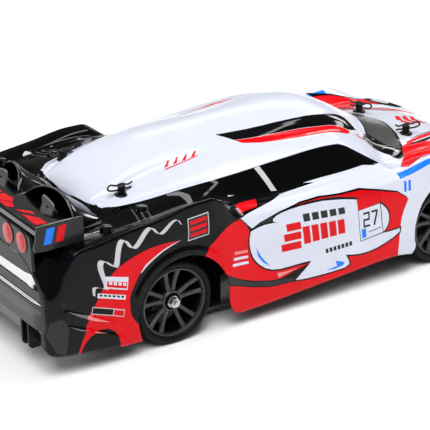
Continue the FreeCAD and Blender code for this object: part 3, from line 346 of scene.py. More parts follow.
CROWN = [(-228, 0, 88), (-158, 0, 93), (-154, 0, 101), (-135, 0, 114), (-110, 0, 122), (-76, 0, 127.5),
         (-41, 0, 130), (-6, 0, 131.5), (29, 0, 132), (57, 0, 130.5), (72, 0, 126.5), (88, 0, 119),
         (104, 0, 109.5), (118, 0, 102), (135, 0, 94.5), (151, 0, 89), (165, 0, 87), (184, 0, 84),
         (205, 0, 77), (218, 0, 71), (228, 0, 64)]
RAILS = [SILL, WAIST, FENDER, BELT, ROOF_EDGE, RAIL_FOOT, RAIL_TOP, CROWN]
CORNER = [0.0, 8.0, 3.0, 3.0, 2.4, 3.0, 3.0, 0.0]
ARC_STEPS = 4
SPANS = [12, 20, 8, 6, 9, 5, 9]
BULGE = [0.3, 0.9, 0.9, 0.7, 1.0, 0.3, 0.0]
ARCHES = [(-112.0, 30.0, 40.3), (145.0, 35.0, 39.0)]


def along(rail, x):
    """The rail's (y, z) at each x, on a monotone cubic through its points."""
    a = np.array(rail, float)
    h = np.diff(a[:, 0])
    i = np.clip(np.searchsorted(a[:, 0], x, side="right") - 1, 0, len(a) - 2)
    t = (np.clip(x, a[0, 0], a[-1, 0]) - a[i, 0]) / h[i]
    out = []
    for c in (1, 2):
        d = np.diff(a[:, c]) / h
        m = np.zeros(len(a))
        m[0], m[-1] = d[0], d[-1]
        for k in range(1, len(a) - 1):
            if d[k - 1] * d[k] > 0:
                w1 = 2 * h[k] + h[k - 1]
                w2 = h[k] + 2 * h[k - 1]
                m[k] = (w1 + w2) / (w1 / d[k - 1] + w2 / d[k])
        p, q = a[i, c], a[i + 1, c]
        out.append((2 * t ** 3 - 3 * t ** 2 + 1) * p + (t ** 3 - 2 * t ** 2 + t) * h[i] * m[i]
                   + (3 * t ** 2 - 2 * t ** 3) * q + (t ** 3 - t ** 2) * h[i] * m[i + 1])
    return np.stack(out, 1)


def sections(xs):
    """Half cross-sections with rounded corners, as (station, column, (y, z)), and each column's span."""
    rail = np.stack([along(r, xs) for r in RAILS], 1)
    columns = []
    spans = []
    last = None
    for k in range(7):
        a, b = rail[:, k], rail[:, k + 1]
        length = np.linalg.norm(b - a, axis=1, keepdims=True) + 1e-9
        t = (b - a) / length
        out = np.stack([t[:, 1], -t[:, 0]], 1)
        ra = np.minimum(CORNER[k], 0.42 * length)
        rb = np.minimum(CORNER[k + 1], 0.42 * length)
        start, end = a + t * ra, b - t * rb
        if k > 0:
            for j in range(1, ARC_STEPS):
                s = j / ARC_STEPS
                columns.append((1 - s) ** 2 * last + 2 * s * (1 - s) * a + s * s * start)
                spans.append(k - 1 if j < ARC_STEPS / 2 else k)
        for j in range(SPANS[k] + 1):
            s = j / SPANS[k]
            if k == 6:
                q = np.stack([start[:, 0] * (1 - s), start[:, 1] + (b - start)[:, 1] * (1 - (1 - s) ** 2)], 1)
            else:
                q = start + (end - start) * s + out * BULGE[k] * 4 * s * (1 - s)
            columns.append(q)
            spans.append(k)
        last = end
    return np.stack(columns, 1), spans


LEDGES = [([(-214, 52.6), (-200.8, 46.7), (-184.8, 39.4), (-167, 30.4)], 2.4, -214.0, -167.0),
          ([(-212, 40.6), (-193.3, 32.2), (-175.4, 25), (-160, 16.5)], 1.7, -212.0, -160.0)]


def hollowed(x, z):
    """How far the flank is drawn in above its two rear ledges and round the rear arch's lip."""
    depth = 0.0
    for line, reach, first, last in LEDGES:
        base = float(np.interp(x, [p[0] for p in line], [p[1] for p in line]))
        rise = z - base
        fade = min(1.0, max(0.0, (x - first) / 4.0)) * min(1.0, max(0.0, (last - x) / 6.0))
        if rise > 0.0:
            depth = max(depth, fade * reach * min(1.0, rise / 2.0) * math.exp(-max(0.0, rise - 2.0) / 16.0))
    cx, cz, r = ARCHES[0]
    gap = math.hypot(x - cx, z - cz) - r - 4.5
    if gap > 0.0 and z > 45.0 and z < 88.0 and x < -78.0:
        fade = min(1.0, (z - 45.0) / 10.0) * min(1.0, (88.0 - z) / 6.0) * min(1.0, (-78.0 - x) / 8.0)
        depth = max(depth, fade * 1.8 * min(1.0, gap / 2.4) * math.exp(-max(0.0, gap - 2.4) / 14.0))
    return depth


class Skin:
    """One half of the shell, cut along painted outlines."""

    def __init__(self):
        xs = np.unique(np.concatenate([np.arange(-226, 226.1, 2.5), np.arange(-159, -146, 1.0),
                                       np.arange(-82, -60, 1.5), [226.0]]))
        grid, spans = sections(xs)
        self.bm = bmesh.new()
        self.span = self.bm.faces.layers.float.new("span")
        rows = []
        for i, x in enumerate(xs):
            row = []
            for j, (y, z) in enumerate(grid[i]):
                row.append(self.bm.verts.new((x, -min(y, 99.4), z)))
            rows.append(row)
        for i in range(len(rows) - 1):
            for j in range(len(spans) - 1):
                face = self.bm.faces.new((rows[i][j], rows[i + 1][j], rows[i + 1][j + 1], rows[i][j + 1]))
                face[self.span] = spans[j + 1]
        self.keys = []

    def slot(self, key):
        """The material index of a finish."""
        if key not in self.keys:
            self.keys.append(key)
        return self.keys.index(key)

    def trimmed(self, outline, axis, spans, sign=-1):
        """Cut the skin along an outline seen along one axis, and return the faces inside it."""
        u, v = (0, 2) if axis == "side" else (0, 1)
        lo = [min(p[c] for p in outline) - 0.1 for c in (0, 1)]
        hi = [max(p[c] for p in outline) + 0.1 for c in (0, 1)]
        pool = set()
        for f in self.bm.faces:
            if not spans[0] <= f[self.span] <= spans[1]:
                continue
            if f.verts[0].co.y * sign < -1e-4:
                continue
            us = [w.co[u] for w in f.verts]
            vs = [w.co[v] for w in f.verts]
            if max(us) > lo[0] and min(us) < hi[0] and max(vs) > lo[1] and min(vs) < hi[1]:
                pool.add(f)
        for p, q in zip(outline, outline[1:] + outline[:1]):
            du, dv = q[0] - p[0], q[1] - p[1]
            if abs(du) + abs(dv) < 1e-6:
                continue
            chosen = []
            for f in pool:
                us = [w.co[u] for w in f.verts]
                vs = [w.co[v] for w in f.verts]
                if (max(us) < min(p[0], q[0]) - 0.01 or min(us) > max(p[0], q[0]) + 0.01
                        or max(vs) < min(p[1], q[1]) - 0.01 or min(vs) > max(p[1], q[1]) + 0.01):
                    continue
                sides = [(a - p[0]) * dv - (b - p[1]) * du for a, b in zip(us, vs)]
                if max(sides) > 1e-6 and min(sides) < -1e-6:
                    chosen.append(f)
            if not chosen:
                continue
            normal = Vector((0, 0, 0))
            normal[u], normal[v] = dv, -du
            origin = Vector((0, 0, 0))
            origin[u], origin[v] = p
            edges = list({e for f in chosen for e in f.edges})
            corners = list({w for f in chosen for w in f.verts})
            geom = edges + corners + chosen
            out = bmesh.ops.bisect_plane(self.bm, geom=geom, plane_co=origin, plane_no=normal, dist=1e-5)
            pool = {f for f in pool if f.is_valid}
            pool |= {g for g in out["geom"] if isinstance(g, bmesh.types.BMFace)}
        inside = []
        for f in pool:
            c = f.calc_center_median()
            if within(outline, c[u], c[v]):
                inside.append(f)
        return inside

    def paint(self, key, outline, axis, spans, sign=-1):
        """Give the faces inside an outline a finish. Spans count up from the sill to the crown."""
        index = self.slot(key)
        for f in self.trimmed(outline, axis, spans, sign):
            f.material_index = index

    def drop(self, outline, axis, spans):
        """Cut an opening."""
        bmesh.ops.delete(self.bm, geom=self.trimmed(outline, axis, spans), context="FACES")


def within(outline, u, v):
    """Even-odd test of a point against an outline."""
    inside = False
    for (u0, v0), (u1, v1) in zip(outline, outline[1:] + outline[:1]):
        if (v0 > v) != (v1 > v) and u < u0 + (v - v0) / (v1 - v0) * (u1 - u0):
            inside = not inside
    return inside


def bar(u, v, length, height, lean=0.0, rise=0.0):
    """A slanted block: length along u, rise per length, and lean of its uprights."""
    return [(u, v), (u + length, v + rise * length), (u + length + lean * height, v + rise * length + height),
            (u + lean * height, v + height)]


skin = Skin()
skin.slot("white")


def flank(key, outline):
    """Paint on the side, up to the fender line."""
    skin.paint(key, outline, "side", (0, 2))


def upper(key, outline):
    """Paint on everything above the fender line, seen from above."""
    skin.paint(key, outline, "top", (3, 6))


def roof(key, outline):
    """Paint between the roof's edges, seen from above."""
    skin.paint(key, outline, "top", (4, 6))


def shoulder(key, outline):
    """Paint over the fender line and the shoulder, seen from above."""
    skin.paint(key, outline, "top", (2, 4))


# tail half: gloss black up to the roof's edge
flank("black", [(-230, 0), (-60, 0), (-60, 60), (-58, 84.9), (-58, 140), (-230, 140)])
upper("black", [
    (-230, -100), (-149.5, -100), (-149.5, -46), (-151, -40), (-152.4, -33), (-154, -21), (-155.4, -8),
    (-155.6, 1), (-230, 1)
])
skin.paint("black", [(-151, -100), (-58, -100), (-58, 1), (-151, 1)], "top", (3, 3))

# door: black wedge under the windows, then the white sweep
skin.paint("black", [
    (-60, 85.2), (-39.5, 87.8), (-17.8, 89.9), (4, 90.6), (20, 91.4), (7.5, 93.2), (-15, 93.4), (-58, 97),
    (-62, 112), (-66, 84)
], "side", (2, 3))
LOWER_RED = [
    (-112, 30), (-96, 63), (-94.4, 65.7), (-90, 70.5), (-85.2, 74.4), (-79, 79.6), (-72, 83.1), (-65, 84.6),
    (-58, 84.9), (-53.1, 80), (-50.4, 73.8), (-41, 77.4), (-22, 81.6), (-3, 84.2), (15, 84.5), (34.2, 82.6),
    (54.1, 81.8), (70.9, 77.6), (89.8, 72.2), (100.2, 65.2), (97.5, 60.5), (95.4, 56.6), (93.4, 52),
    (92, 47.6), (90.6, 37), (89.4, 25), (88.5, 5), (-80, 5)
]
flank("black", grown(LOWER_RED[8:21], 0.0) + [
    (99, 66.8), (89.5, 73.6), (70.9, 79), (54.1, 83.2), (34.2, 84), (15, 85.7), (-3, 85.4), (-22, 82.8),
    (-41, 78.6), (-49, 75.6)
])
flank("red", LOWER_RED)
flank("grey", [
    (-51.2, 74.3), (-41.6, 77.4), (-32, 79.6), (-22.5, 81.3), (-13, 83), (-3.4, 83.9), (6, 84.1),
    (15.3, 83.6), (25, 82.9), (34.2, 81.2), (50.1, 77.4), (47.9, 76.0), (38, 78.6), (29.1, 80.2), (17, 82),
    (5.7, 82.4), (-4, 82.6), (-13, 82.2), (-21, 81.4), (-26.2, 80.2), (-29.6, 78.4), (-29.3, 76.2),
    (-26.5, 74.9), (-22.7, 74.2), (-30, 75.2), (-37.3, 75.4), (-49.5, 73.2)
])
PANEL = [
    (-50.3, 73.4), (-44, 74.9), (-37.3, 75.6), (-30, 75.3), (-22.7, 74.4), (-26.5, 75.1), (-29.3, 76.3),
    (-29.5, 78.2), (-26.2, 80.0), (-21, 81.2), (-13, 82), (-4, 82.4), (5.7, 82.2), (17, 81.8), (29.1, 80),
    (38, 78.4), (47.9, 76), (60, 73.4), (71.3, 68.4), (75.5, 64.6), (78.6, 60.8), (80.5, 56.2), (80.4, 52),
    (78.6, 47.6), (75.4, 44.4), (72, 42.9), (79, 42.6), (85.2, 42.6), (90.8, 43), (90.4, 39.8),
    (83.6, 36.6), (75.5, 34), (68, 32), (60.5, 31), (55, 30.9), (50.7, 31), (43, 32.3), (37.5, 33.6),
    (40.6, 27.4), (40.9, 25), (36.1, 23.2), (24, 22.9), (11.9, 23), (-0.5, 23.4), (-10.8, 24.6), (-5, 29),
    (1, 33.2), (4.6, 36.8), (-3, 37.2), (-15.6, 37.2), (-25, 37.4), (-32.4, 38.8), (-38.6, 41.6),
    (-43.3, 45.3), (-46.8, 49), (-49.4, 53.2), (-51.4, 58.3), (-52.2, 63.7), (-51.8, 69)
]
flank("black", [
    (-76.5, 47.3), (-70, 43.2), (-62.4, 39.1), (-50, 34.2), (-34.8, 30.6), (-24, 29.6), (-16, 31.4),
    (-9, 34.2), (-4, 36.5), (3.6, 36.5), (-2, 31), (-10.4, 24), (-24, 24.2), (-35.1, 25.1), (-53.3, 29.8),
    (-73.2, 36.8)
])
flank("grey", [
    (-76.5, 46.3), (-70, 42.2), (-62.4, 38.1), (-50, 33.2), (-34.8, 29.8), (-24, 28.6), (-12, 27),
    (-12, 24.6), (-24, 25), (-35.1, 25.9), (-53.3, 30.6), (-73.2, 37.8)
])
flank("black", grown(PANEL, 1.3))
flank("white", PANEL)
flank("red", [(-28.7, 35.6), (-15, 35.4), (2.4, 35.4), (-5.2, 33.6), (-20.6, 31.4), (-27.2, 29.6)])
flank("pink", [(-27.6, 34.6), (-18, 34.0), (-8, 34.0), (-20.6, 31.9), (-26.4, 30.4)])

# number plate and plain blocks on the door
flank("grey", [(49.5, 76.4), (71.4, 77.8), (74.6, 43.0), (51.9, 40.7)])
flank("white", [(50.7, 66.2), (71.5, 67.6), (73.9, 43.7), (52.5, 41.4)])
flank("red", [(49.9, 76), (71, 77.4), (71.4, 68.1), (50.7, 66.4)])
flank("blue", [(53.3, 50.2), (57.6, 50.6), (57.9, 43.4), (53.7, 42.8)])
flank("grey", [(60, 47.2), (72.4, 48.4), (72.5, 47.7), (60.1, 46.5)])
for k in range(5):
    flank("grey", bar(-1.5 + 8.3 * k, 69.6 - 0.5 * k, 6.2, 6.3 - 0.25 * k, -0.12, -0.06))
for k in range(5):
    flank("red", bar(-1.5 + 8.2 * k, 51.6, 6.6, 14.4 - 0.6 * k, -0.12, -0.04))
for k in range(3):
    flank("red", bar(-22.5 + 2.5 * k, 50.2 + 7.6 * k, 18.5 - 2.5 * k, 6.0, -0.12, -0.05))
for k in range(7):
    flank("grey", bar(18.5 + 3.8 * k, 39.2 + 0.1 * k, 2.7, 3.6, -0.1, 0.0))
flank("blue", [(-46.4, 60.2), (-44.8, 52.4), (-40.4, 46.6), (-34.0, 42.0), (-38.6, 47.4), (-42.4, 52.6)])
flank("blue", [(17.7, 25.2), (29.0, 26.4), (27.4, 31), (36.4, 28.0), (35, 25.6), (27, 24.4)])
for k in range(3):
    key = "pink" if k == 0 else "white"
    flank(key, bar(-66.7 - 1.2 * k, 59.6 - 4.4 * k, 12.5 + 1.5 * k, 2.2, 0.0, -0.12))
skin.paint("red", [(-57.3, 92.6), (-36.3, 91.4), (-39.9, 88.6), (-57.4, 88.0)], "side", (2, 3))

# side windows with a white centre pillar
skin.paint("glass", [
    (-151, 100), (-141, 101.6), (-123, 103), (-91, 107.0), (-75, 107.2), (-62, 107.6), (-39, 109.2),
    (-4, 112), (20, 113.6), (35, 114), (50, 113.2), (57, 110.2), (64, 105.8), (72, 100.6), (80, 95.4),
    (87.6, 90.7), (80.2, 91.1), (68.7, 93.7), (45.9, 93.4), (26.8, 93.3), (7.5, 92.7), (-15.2, 92.3),
    (-47.5, 95.6), (-70, 100.4), (-80, 101.4), (-97, 102.2), (-131, 99.2), (-151, 98)
], "side", (3, 3.9))
skin.paint("silver", [(-27.4, 109.6), (-22.6, 110.2), (-14.2, 92.2), (-19.2, 92.8)], "side", (3, 3))

# rear quarter graphics on black
# painted highlight: a thin pink line along the swoosh's inner edge
flank("pink", [
    (-115.6, 83.4), (-128.8, 81.2), (-137.5, 77.4), (-144.5, 73.8), (-149.8, 67.6), (-153, 62),
    (-150, 65.7), (-144.5, 72.0), (-137.5, 75.7), (-128.8, 79.7), (-116.5, 82.3)
])
SWOOSH = [
    (-114.5, 83.2), (-124, 84.2), (-132.7, 84.2), (-141.5, 83.4), (-149.7, 81.6), (-156.5, 79.8),
    (-162.5, 77.6), (-168.5, 75), (-173.7, 71.4), (-177.2, 68), (-179.9, 64.1), (-183, 59), (-185.8, 53.8),
    (-191.1, 45), (-194.5, 37), (-199.9, 23.5), (-203.2, 13), (-201.2, 15), (-196.7, 23.6), (-191.9, 28.2),
    (-185.2, 30.4), (-177, 29.8), (-172, 26.5), (-169.0, 22), (-167.5, 16), (-167, 5), (-148, 5),
    (-151.0, 24.6), (-153.8, 28.5), (-157.4, 33.6), (-159.2, 39.4), (-159.6, 48.0), (-157.8, 52.6),
    (-155, 56.8), (-152.6, 61.6), (-149.8, 65.7), (-144.5, 71.2), (-137.5, 75.1), (-128.8, 79.1),
    (-120, 81.6)
]
flank("red", SWOOSH)
# painted highlight: a thin white line along the swoosh's inner edge
flank("white", [
    (-113.5, 83.1), (-121, 81.9), (-129, 79.5), (-137.5, 75.5), (-144.5, 71.6), (-149.0, 66.4),
    (-148.4, 66.0), (-143.5, 70.2), (-137, 74.2), (-129, 78.3), (-121, 80.9)
])
WAVE_PATH = [
    (-187.6, 58), (-183.6, 67), (-178.5, 76.0), (-170.4, 84.0), (-161.1, 89.6), (-148.4, 93.0),
    (-135.7, 95.2), (-122.8, 97.0), (-112.0, 96.4)
]
spine = smooth_path([(u, v, 0.0) for u, v in WAVE_PATH], 8)
ribbon_a = []
ribbon_b = []
for k, (u, v, w) in enumerate(spine):
    t = k / (len(spine) - 1)
    p, q = spine[max(k - 1, 0)], spine[min(k + 1, len(spine) - 1)]
    du, dv = q[0] - p[0], q[1] - p[1]
    run = math.hypot(du, dv)
    swing = (8.0 - 5.6 * t) * min(1.0, 0.15 + 6.0 * t) * math.sin(math.tau * (4.5 * t + 0.1))
    lean = 4.0 * swing / 8.0
    half_wide = (2.5 - 1.1 * t) * (0.35 + 0.65 * min(1.0, 6 * t, 6 * (1 - t)))
    cu, cv = u - dv / run * swing + du / run * lean, v + du / run * swing + dv / run * lean
    ribbon_a.append((cu - half_wide, cv + half_wide * 0.5))
    ribbon_b.append((cu + half_wide, cv - half_wide * 0.5))
for k in range(len(spine) - 1):
    flank("silver", [ribbon_a[k], ribbon_a[k + 1], ribbon_b[k + 1], ribbon_b[k]])
flank("white", [(-178.2, 71.4), (-159.6, 66.2), (-160.6, 56.2), (-179.0, 62.4)])
flank("red", [(-177.4, 67.6), (-160.6, 62.6), (-161.4, 57.6), (-177.9, 63.2)])
for k in range(4):
    flank("white", bar(-176 + 3.9 * k, 64.4 - 1.25 * k, 2.6, 2.6, 0.0, -0.3))
flank("white", [(-185.2, 60.0), (-162.4, 52.8), (-163, 49.6), (-185.8, 56.4)])
for k in range(6):
    flank("grey", bar(-183.8 + 3.5 * k, 57.2 - 1.07 * k, 2.3, 1.6, 0.0, -0.3))
flank("silver", [(-189.6, 50.2), (-163.8, 42), (-164.6, 36.2), (-190.2, 44.2)])
flank("black", [(-189.1, 49.4), (-172.6, 44.1), (-173.1, 39.5), (-189.7, 44.8)])
flank("red", [(-172.0, 43.9), (-164.3, 41.4), (-164.9, 36.9), (-172.6, 39.3)])
flank("silver", bar(-107.6, 80.6, 18.6, 17.6, 0.0, 0.06))
flank("grey", bar(-106.9, 81.4, 17.2, 16.0, 0.0, 0.06))
for k in range(3):
    flank("red", bar(-105.6, 83.2 + 4.8 * k, 14.6, 3.0, 0.0, 0.06))

# roof bands, ticks and windscreen
roof("black", [
    (-36, -25.2), (-24, -26.4), (-14.2, -27.4), (3, -29.4), (20.3, -31.4), (38.3, -33.0), (58.4, -32.4),
    (72, -31.6), (80, -33), (85.6, -37.6), (87.4, -42.4), (84.3, -43.6), (80.6, -45.2), (76, -45.8),
    (71.6, -44.7), (65.5, -43.5), (51.2, -42.7), (32.9, -41.3), (14.7, -40), (-3.2, -38.5), (-14, -37.2),
    (-25.4, -35.6), (-31, -30)
])
roof("red", [
    (-25.4, -35.8), (-14, -37.4), (-3.2, -38.7), (14.7, -40.2), (32.9, -41.5), (51.2, -42.9), (65.5, -43.7),
    (71.6, -44.9), (77, -46.4), (75.5, -49.8), (70, -52.4), (58, -53.2), (43.9, -52.6), (25.9, -50.9),
    (8.8, -48.1), (-7.3, -44.4), (-20.3, -40.3)
])
# painted reflection: a pink streak on the red roof band
roof("pink", [(34, -49.6), (52, -51.2), (64, -50.6), (68, -47.6), (52, -47.8), (34, -46.8)])
# painted highlight: a light crescent round the front end of the black roof band
roof("silver", [(64, -34.6), (72, -35.4), (78, -38.2), (80, -42.6), (76, -39.4), (70, -37.4)])
roof("red", [(82.4, -46.6), (87.4, -48.8), (88.4, -52.2), (83.4, -50)])
for k in range(4):
    roof("red", [
        (-91 + 8 * k, -38.5), (-85.5 + 8 * k, -34.5), (-83.5 + 8 * k, -34.5), (-87.5 + 8 * k, -38.5)
    ])
roof("red", [(-92, -39.6), (-60, -38.6), (-62, -39.4), (-90, -40.6)])
SCREEN = [
    (112, 1), (112, -8), (111, -16), (108.5, -25), (103.5, -35), (107, -45), (112, -53), (116, -59),
    (119.5, -63), (122.5, -61), (125.5, -57.5), (132, -45), (139.5, -30), (145, -15), (148.8, -5), (150, 1)
]
upper("black", [
    (97, -39.5), (88.3, -50), (92.5, -54.5), (101.3, -56.5), (109, -59.8), (115.6, -65.4), (120.5, -63),
    (112, -46), (104, -34)
])
upper("black", SCREEN)
upper("screen", [
    (113.2, 1), (113.2, -8), (112.2, -16), (109.8, -25), (106.5, -34), (112.5, -44), (120, -52), (124, -54),
    (129.5, -45), (137, -30), (142.5, -15), (146, -5), (147, 1)
])
# painted highlight: a light streak along the windscreen's edge by the A-pillar
upper("silver", [(98.2, -41.4), (120.4, -54.8), (119.6, -56.8), (97.2, -43.0)])

# hood and front wings
skin.paint("blue", [
    (94.4, 84.4), (94.4, 81.4), (104.1, 82.9), (113.9, 85.1), (123.0, 87.4), (132, 89.0), (150, 89.6),
    (150, 98), (94.4, 98)
], "side", (1, 2))
skin.paint("white", [(94.4, 84.4), (98.1, 85.2), (103, 86.2), (98, 90), (92, 90)], "side", (1, 2))
skin.paint("blue", [
    (99.0, -91), (99.6, -88.0), (102.8, -87.6), (110.5, -88.4), (117.6, -89.2), (124.4, -89.8),
    (150, -90.4), (150, -100), (99.0, -100)
], "top", (3, 3))
skin.paint("white", [
    (92, -68), (108, -70), (114, -80), (128, -83), (150, -84), (150, -90.4), (124, -89.4), (117.6, -88.7),
    (110.5, -87.0), (102.8, -85.6), (92, -85.4)
], "top", (1, 3))
for k in range(2):
    skin.paint("blue", bar(96.4 + 4.2 * k, 71.0, 2.4, 8.2, 0.12, 0.0), "side", (1, 2))
shoulder("black", [
    (150, -49), (166, -53), (180, -57.5), (191, -60.5), (204.5, -62.4), (194, -74.2), (176, -71.8),
    (160, -76), (140, -82.5), (132, -86), (136, -78)
])
shoulder("red", [
    (127, -52), (136, -46.5), (150, -43.5), (160, -50), (172, -58), (190, -62), (202.5, -63.8), (193, -73),
    (176, -70.6), (160, -74.6), (146, -78), (131, -80), (118, -82.5), (108, -84.5), (103.5, -80),
    (112, -70), (120, -63.5)
])
upper("black", [
    (136, -48.6), (154, -43.6), (178, -36.6), (196, -33), (196, -35), (178, -39.4), (156, -46.4),
    (139, -50.4)
])
upper("red", [
    (135.9, -45.0), (154.4, -38), (177, -30.5), (205, -24), (205, -29), (178, -34.8), (155, -42),
    (137.5, -47.4)
])
upper("black", [
    (139, -42.2), (154.4, -36.6), (177, -28.6), (205, -21.6), (205, -22.8), (177, -29.8), (154.4, -37.6)
])
for k in range(3):
    roof("red", [
        (165 + 7 * k, -2 + k), (171 + 7 * k, -12 + k), (175.5 + 7 * k, -12 + k), (169.5 + 7 * k, 1)
    ])
shoulder("glass", smooth_loop([(186, -72), (198, -77), (210, -70), (217, -58), (208, -56), (196, -62)], 4))
shoulder("silver", smooth_loop([(192, -71), (200, -74), (208, -68), (205, -63), (197, -66)], 4))
flank("grey", [(-60.4, 86), (-58.9, 86), (-52.9, 80), (-50.6, 74), (-51.6, 73.6), (-54.1, 79.6)])

# painted highlights on the tail corner facet and the deck, and three thin grey stripes on the shoulder
# painted highlight: the tail corner facet in lighter grey
skin.paint("grey", [
    (-224.4, 33), (-223, 45), (-214.4, 47.6), (-209, 38.2), (-210, 32.9), (-211.2, 21.3), (-212, 16.8),
    (-219, 21)
], "side", (0, 1))
# painted highlight: a grey patch on the deck
skin.paint("mid", [(-172, -43), (-155.5, -54.5), (-162, -69), (-175.5, -60)], "top", (4, 5))
# painted highlight: a thin light crescent on the deck
skin.paint("stay", [
    (-166.6, -31), (-168, -42), (-166.2, -47.6), (-158, -52.8), (-158.6, -51.4), (-165.2, -46.4),
    (-166.6, -42), (-165.4, -31)
], "top", (4, 5))
# painted highlight: a grey patch on the rear quarter's top corner, with black paint inside it
skin.paint("mid", [
    (-179.7, -67.8), (-163.8, -77.5), (-181.8, -93.9), (-189.1, -94.9), (-201.9, -91.8), (-206, -86.3),
    (-202.2, -77), (-196.3, -86.3), (-189.1, -86.6)
], "top", (3, 3))
skin.paint("black", [
    (-197.6, -86.8), (-190, -88.1), (-172.5, -83.6), (-186.7, -92.9), (-193.8, -93.4), (-200.2, -89.4)
], "top", (3, 3))
# painted highlight: a light crescent on the shoulder above the rear arch
skin.paint("stay", [
    (-103, -59.5), (-94, -62.5), (-89, -70), (-91, -78), (-97.5, -84.5), (-95.4, -76), (-96.4, -68),
    (-103.4, -63)
], "top", (3, 4))
for k in range(3):
    skin.paint("mid", [
        (-124 - 5 * k, -62), (-125.2 - 5 * k, -62), (-130.2 - 5 * k, -88), (-128.8 - 5 * k, -88)
    ], "top", (3, 4))

# painted highlights along the ledges: grey strips on the black and pink strips on the red
flank("stay", [(-210, 51.6), (-200.8, 47.6), (-194, 44.4), (-194, 41.8), (-200.8, 45.6)])
flank("pink", [(-194, 44.4), (-187.6, 41.0), (-175, 34.6), (-187.6, 38.6), (-194, 41.8)])
flank("stay", [(-209, 39.8), (-200, 35.6), (-192.6, 32.6), (-200, 34.4)])
flank("pink", [(-189, 31.0), (-178, 26.6), (-188, 29.8)])

# the flank is drawn in above its ledges and round the arch
for line, reach, first, last in LEDGES:
    for lift in (0.0, 2.0):
        skin.trimmed([(u, v + lift) for u, v in line] + [(last, 96), (first, 96)], "side", (0, 2))
cx, cz, r = ARCHES[0]
for gap in (4.5, 6.9):
    skin.trimmed(circle_outline(cx, cz, r + gap, 72), "side", (0, 2))
for v in skin.bm.verts:
    if v.co.y < -78.0 and v.co.z < 90.0:
        v.co.y += hollowed(v.co.x, v.co.z)

# rounded skirt corners, wheel arches and post holes
POST_HOLE = 3.5
skin.drop([(-95, 27.5), (-72.1, 27.5), (-71.2, 21.8), (-69.7, 17.4), (-67.4, 14), (-64, 11.6), (-60, 10.2),
           (-56, 9.4), (-56, 0), (-95, 0)], "side", (0, 2))
skin.drop([(112, 26), (107.9, 24), (106.9, 20.6), (105, 18.2), (102.4, 16.6), (102.4, 8), (116, 8),
           (116, 26)], "side", (0, 2))
for cx, cz, r in ARCHES:
    skin.drop(circle_outline(cx, cz, r, 72), "side", (0, 2))
POSTS = {"rear": (-130.7, 42.5, 111.3), "front": (148.0, 31.0, 96.0)}
for px, py, pz in POSTS.values():
    skin.drop(circle_outline(px, -py, POST_HOLE, 20), "top", (3, 6))

half = skin.bm
bmesh.ops.delete(half, geom=[v for v in half.verts if not v.link_faces], context="VERTS")
copy = bmesh.ops.duplicate(half, geom=list(half.verts) + list(half.edges) + list(half.faces))
for v in (g for g in copy["geom"] if isinstance(g, bmesh.types.BMVert)):
    v.co.y = -v.co.y
bmesh.ops.reverse_faces(half, faces=[g for g in copy["geom"] if isinstance(g, bmesh.types.BMFace)])
bmesh.ops.remove_doubles(half, verts=[v for v in half.verts if abs(v.co.y) < 0.01], dist=0.01)

DIGIT_STROKES = {
    "2": [[(0, 8.6), (0, 10), (6, 10), (6, 4.3), (1.4, 4.3), (1.4, 1.4), (6, 1.4), (6, 0), (0, 0), (0, 5.7),
           (4.6, 5.7), (4.6, 8.6)]],
    "7": [[(0, 8.6), (0, 10), (6, 10), (6, 8.4), (3.2, 0), (1.4, 0), (4.4, 8.6)]],
}
for sign in (-1, 1):
    for place, digit in enumerate("27"):
        for stroke in DIGIT_STROKES[digit]:
            base = 55.4 + 8.0 * place
            if sign > 0:
                base = 69.2 - 8.0 * place
            outline = [(base - sign * u * 1.05 - 0.05 * v, 51.2 + 1.25 * v) for u, v in stroke]
            skin.paint("grey", outline, "side", (0, 1), sign)

for v in half.verts:
    v.co *= MM
top = max(half.faces, key=lambda f: f.calc_center_median().z)
if top.normal.z < 0:
    bmesh.ops.reverse_faces(half, faces=half.faces)
shell_mesh = bpy.data.meshes.new("shell")
half.normal_update()
half.to_mesh(shell_mesh)
half.free()
for key in skin.keys + ["inside"]:
    shell_mesh.materials.append(MATS[key])
shell = bpy.data.objects.new("shell", shell_mesh)
bpy.context.collection.objects.link(shell)
shell_mesh.shade_smooth()
shell_mesh.set_sharp_from_angle(angle=math.radians(50))
SHELL_WALL = 1.1
thick = shell.modifiers.new("wall", "SOLIDIFY")
thick.thickness = SHELL_WALL * MM
thick.offset = -1.0
thick.use_rim = True
thick.material_offset = len(shell_mesh.materials)
thick.material_offset_rim = 0
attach(shell, "chassis")
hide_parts("body_shell")

# ---------------------------------------------------------------------------------------------
# Tail: fascia, lamp panel, diffuser, humps and nose
# ---------------------------------------------------------------------------------------------


def end_half_width(x, z):
    """The shell's half-width at one height of an end station."""
    pts = sections(np.array([x]))[0][0]
    reach = [float(y) for y, zz in pts if abs(zz - z) < 1.6]
    if reach:
        return max(reach)
    near = min(pts, key=lambda p: abs(p[1] - z))
    return float(near[0])


def tail_profile(z):
    """How far the fascia lies ahead of the rearmost plane, by height."""
    knots = [(20, 9.0), (34, 5.0), (35.5, 1.2), (46, 0.7), (48, 0.2), (52, 0.9), (55, 1.3), (57, 3.2),
             (64, 4.0), (65.6, 0.5), (66.6, 0.1), (67.4, 0.5), (73.4, 4.2), (74.4, 5.0), (78, 5.3), (88, 6.2)]
    for (z0, d0), (z1, d1) in zip(knots, knots[1:]):
        if z <= z1:
            return d0 + (d1 - d0) * max(0.0, (z - z0)) / (z1 - z0)
    return knots[-1][1]


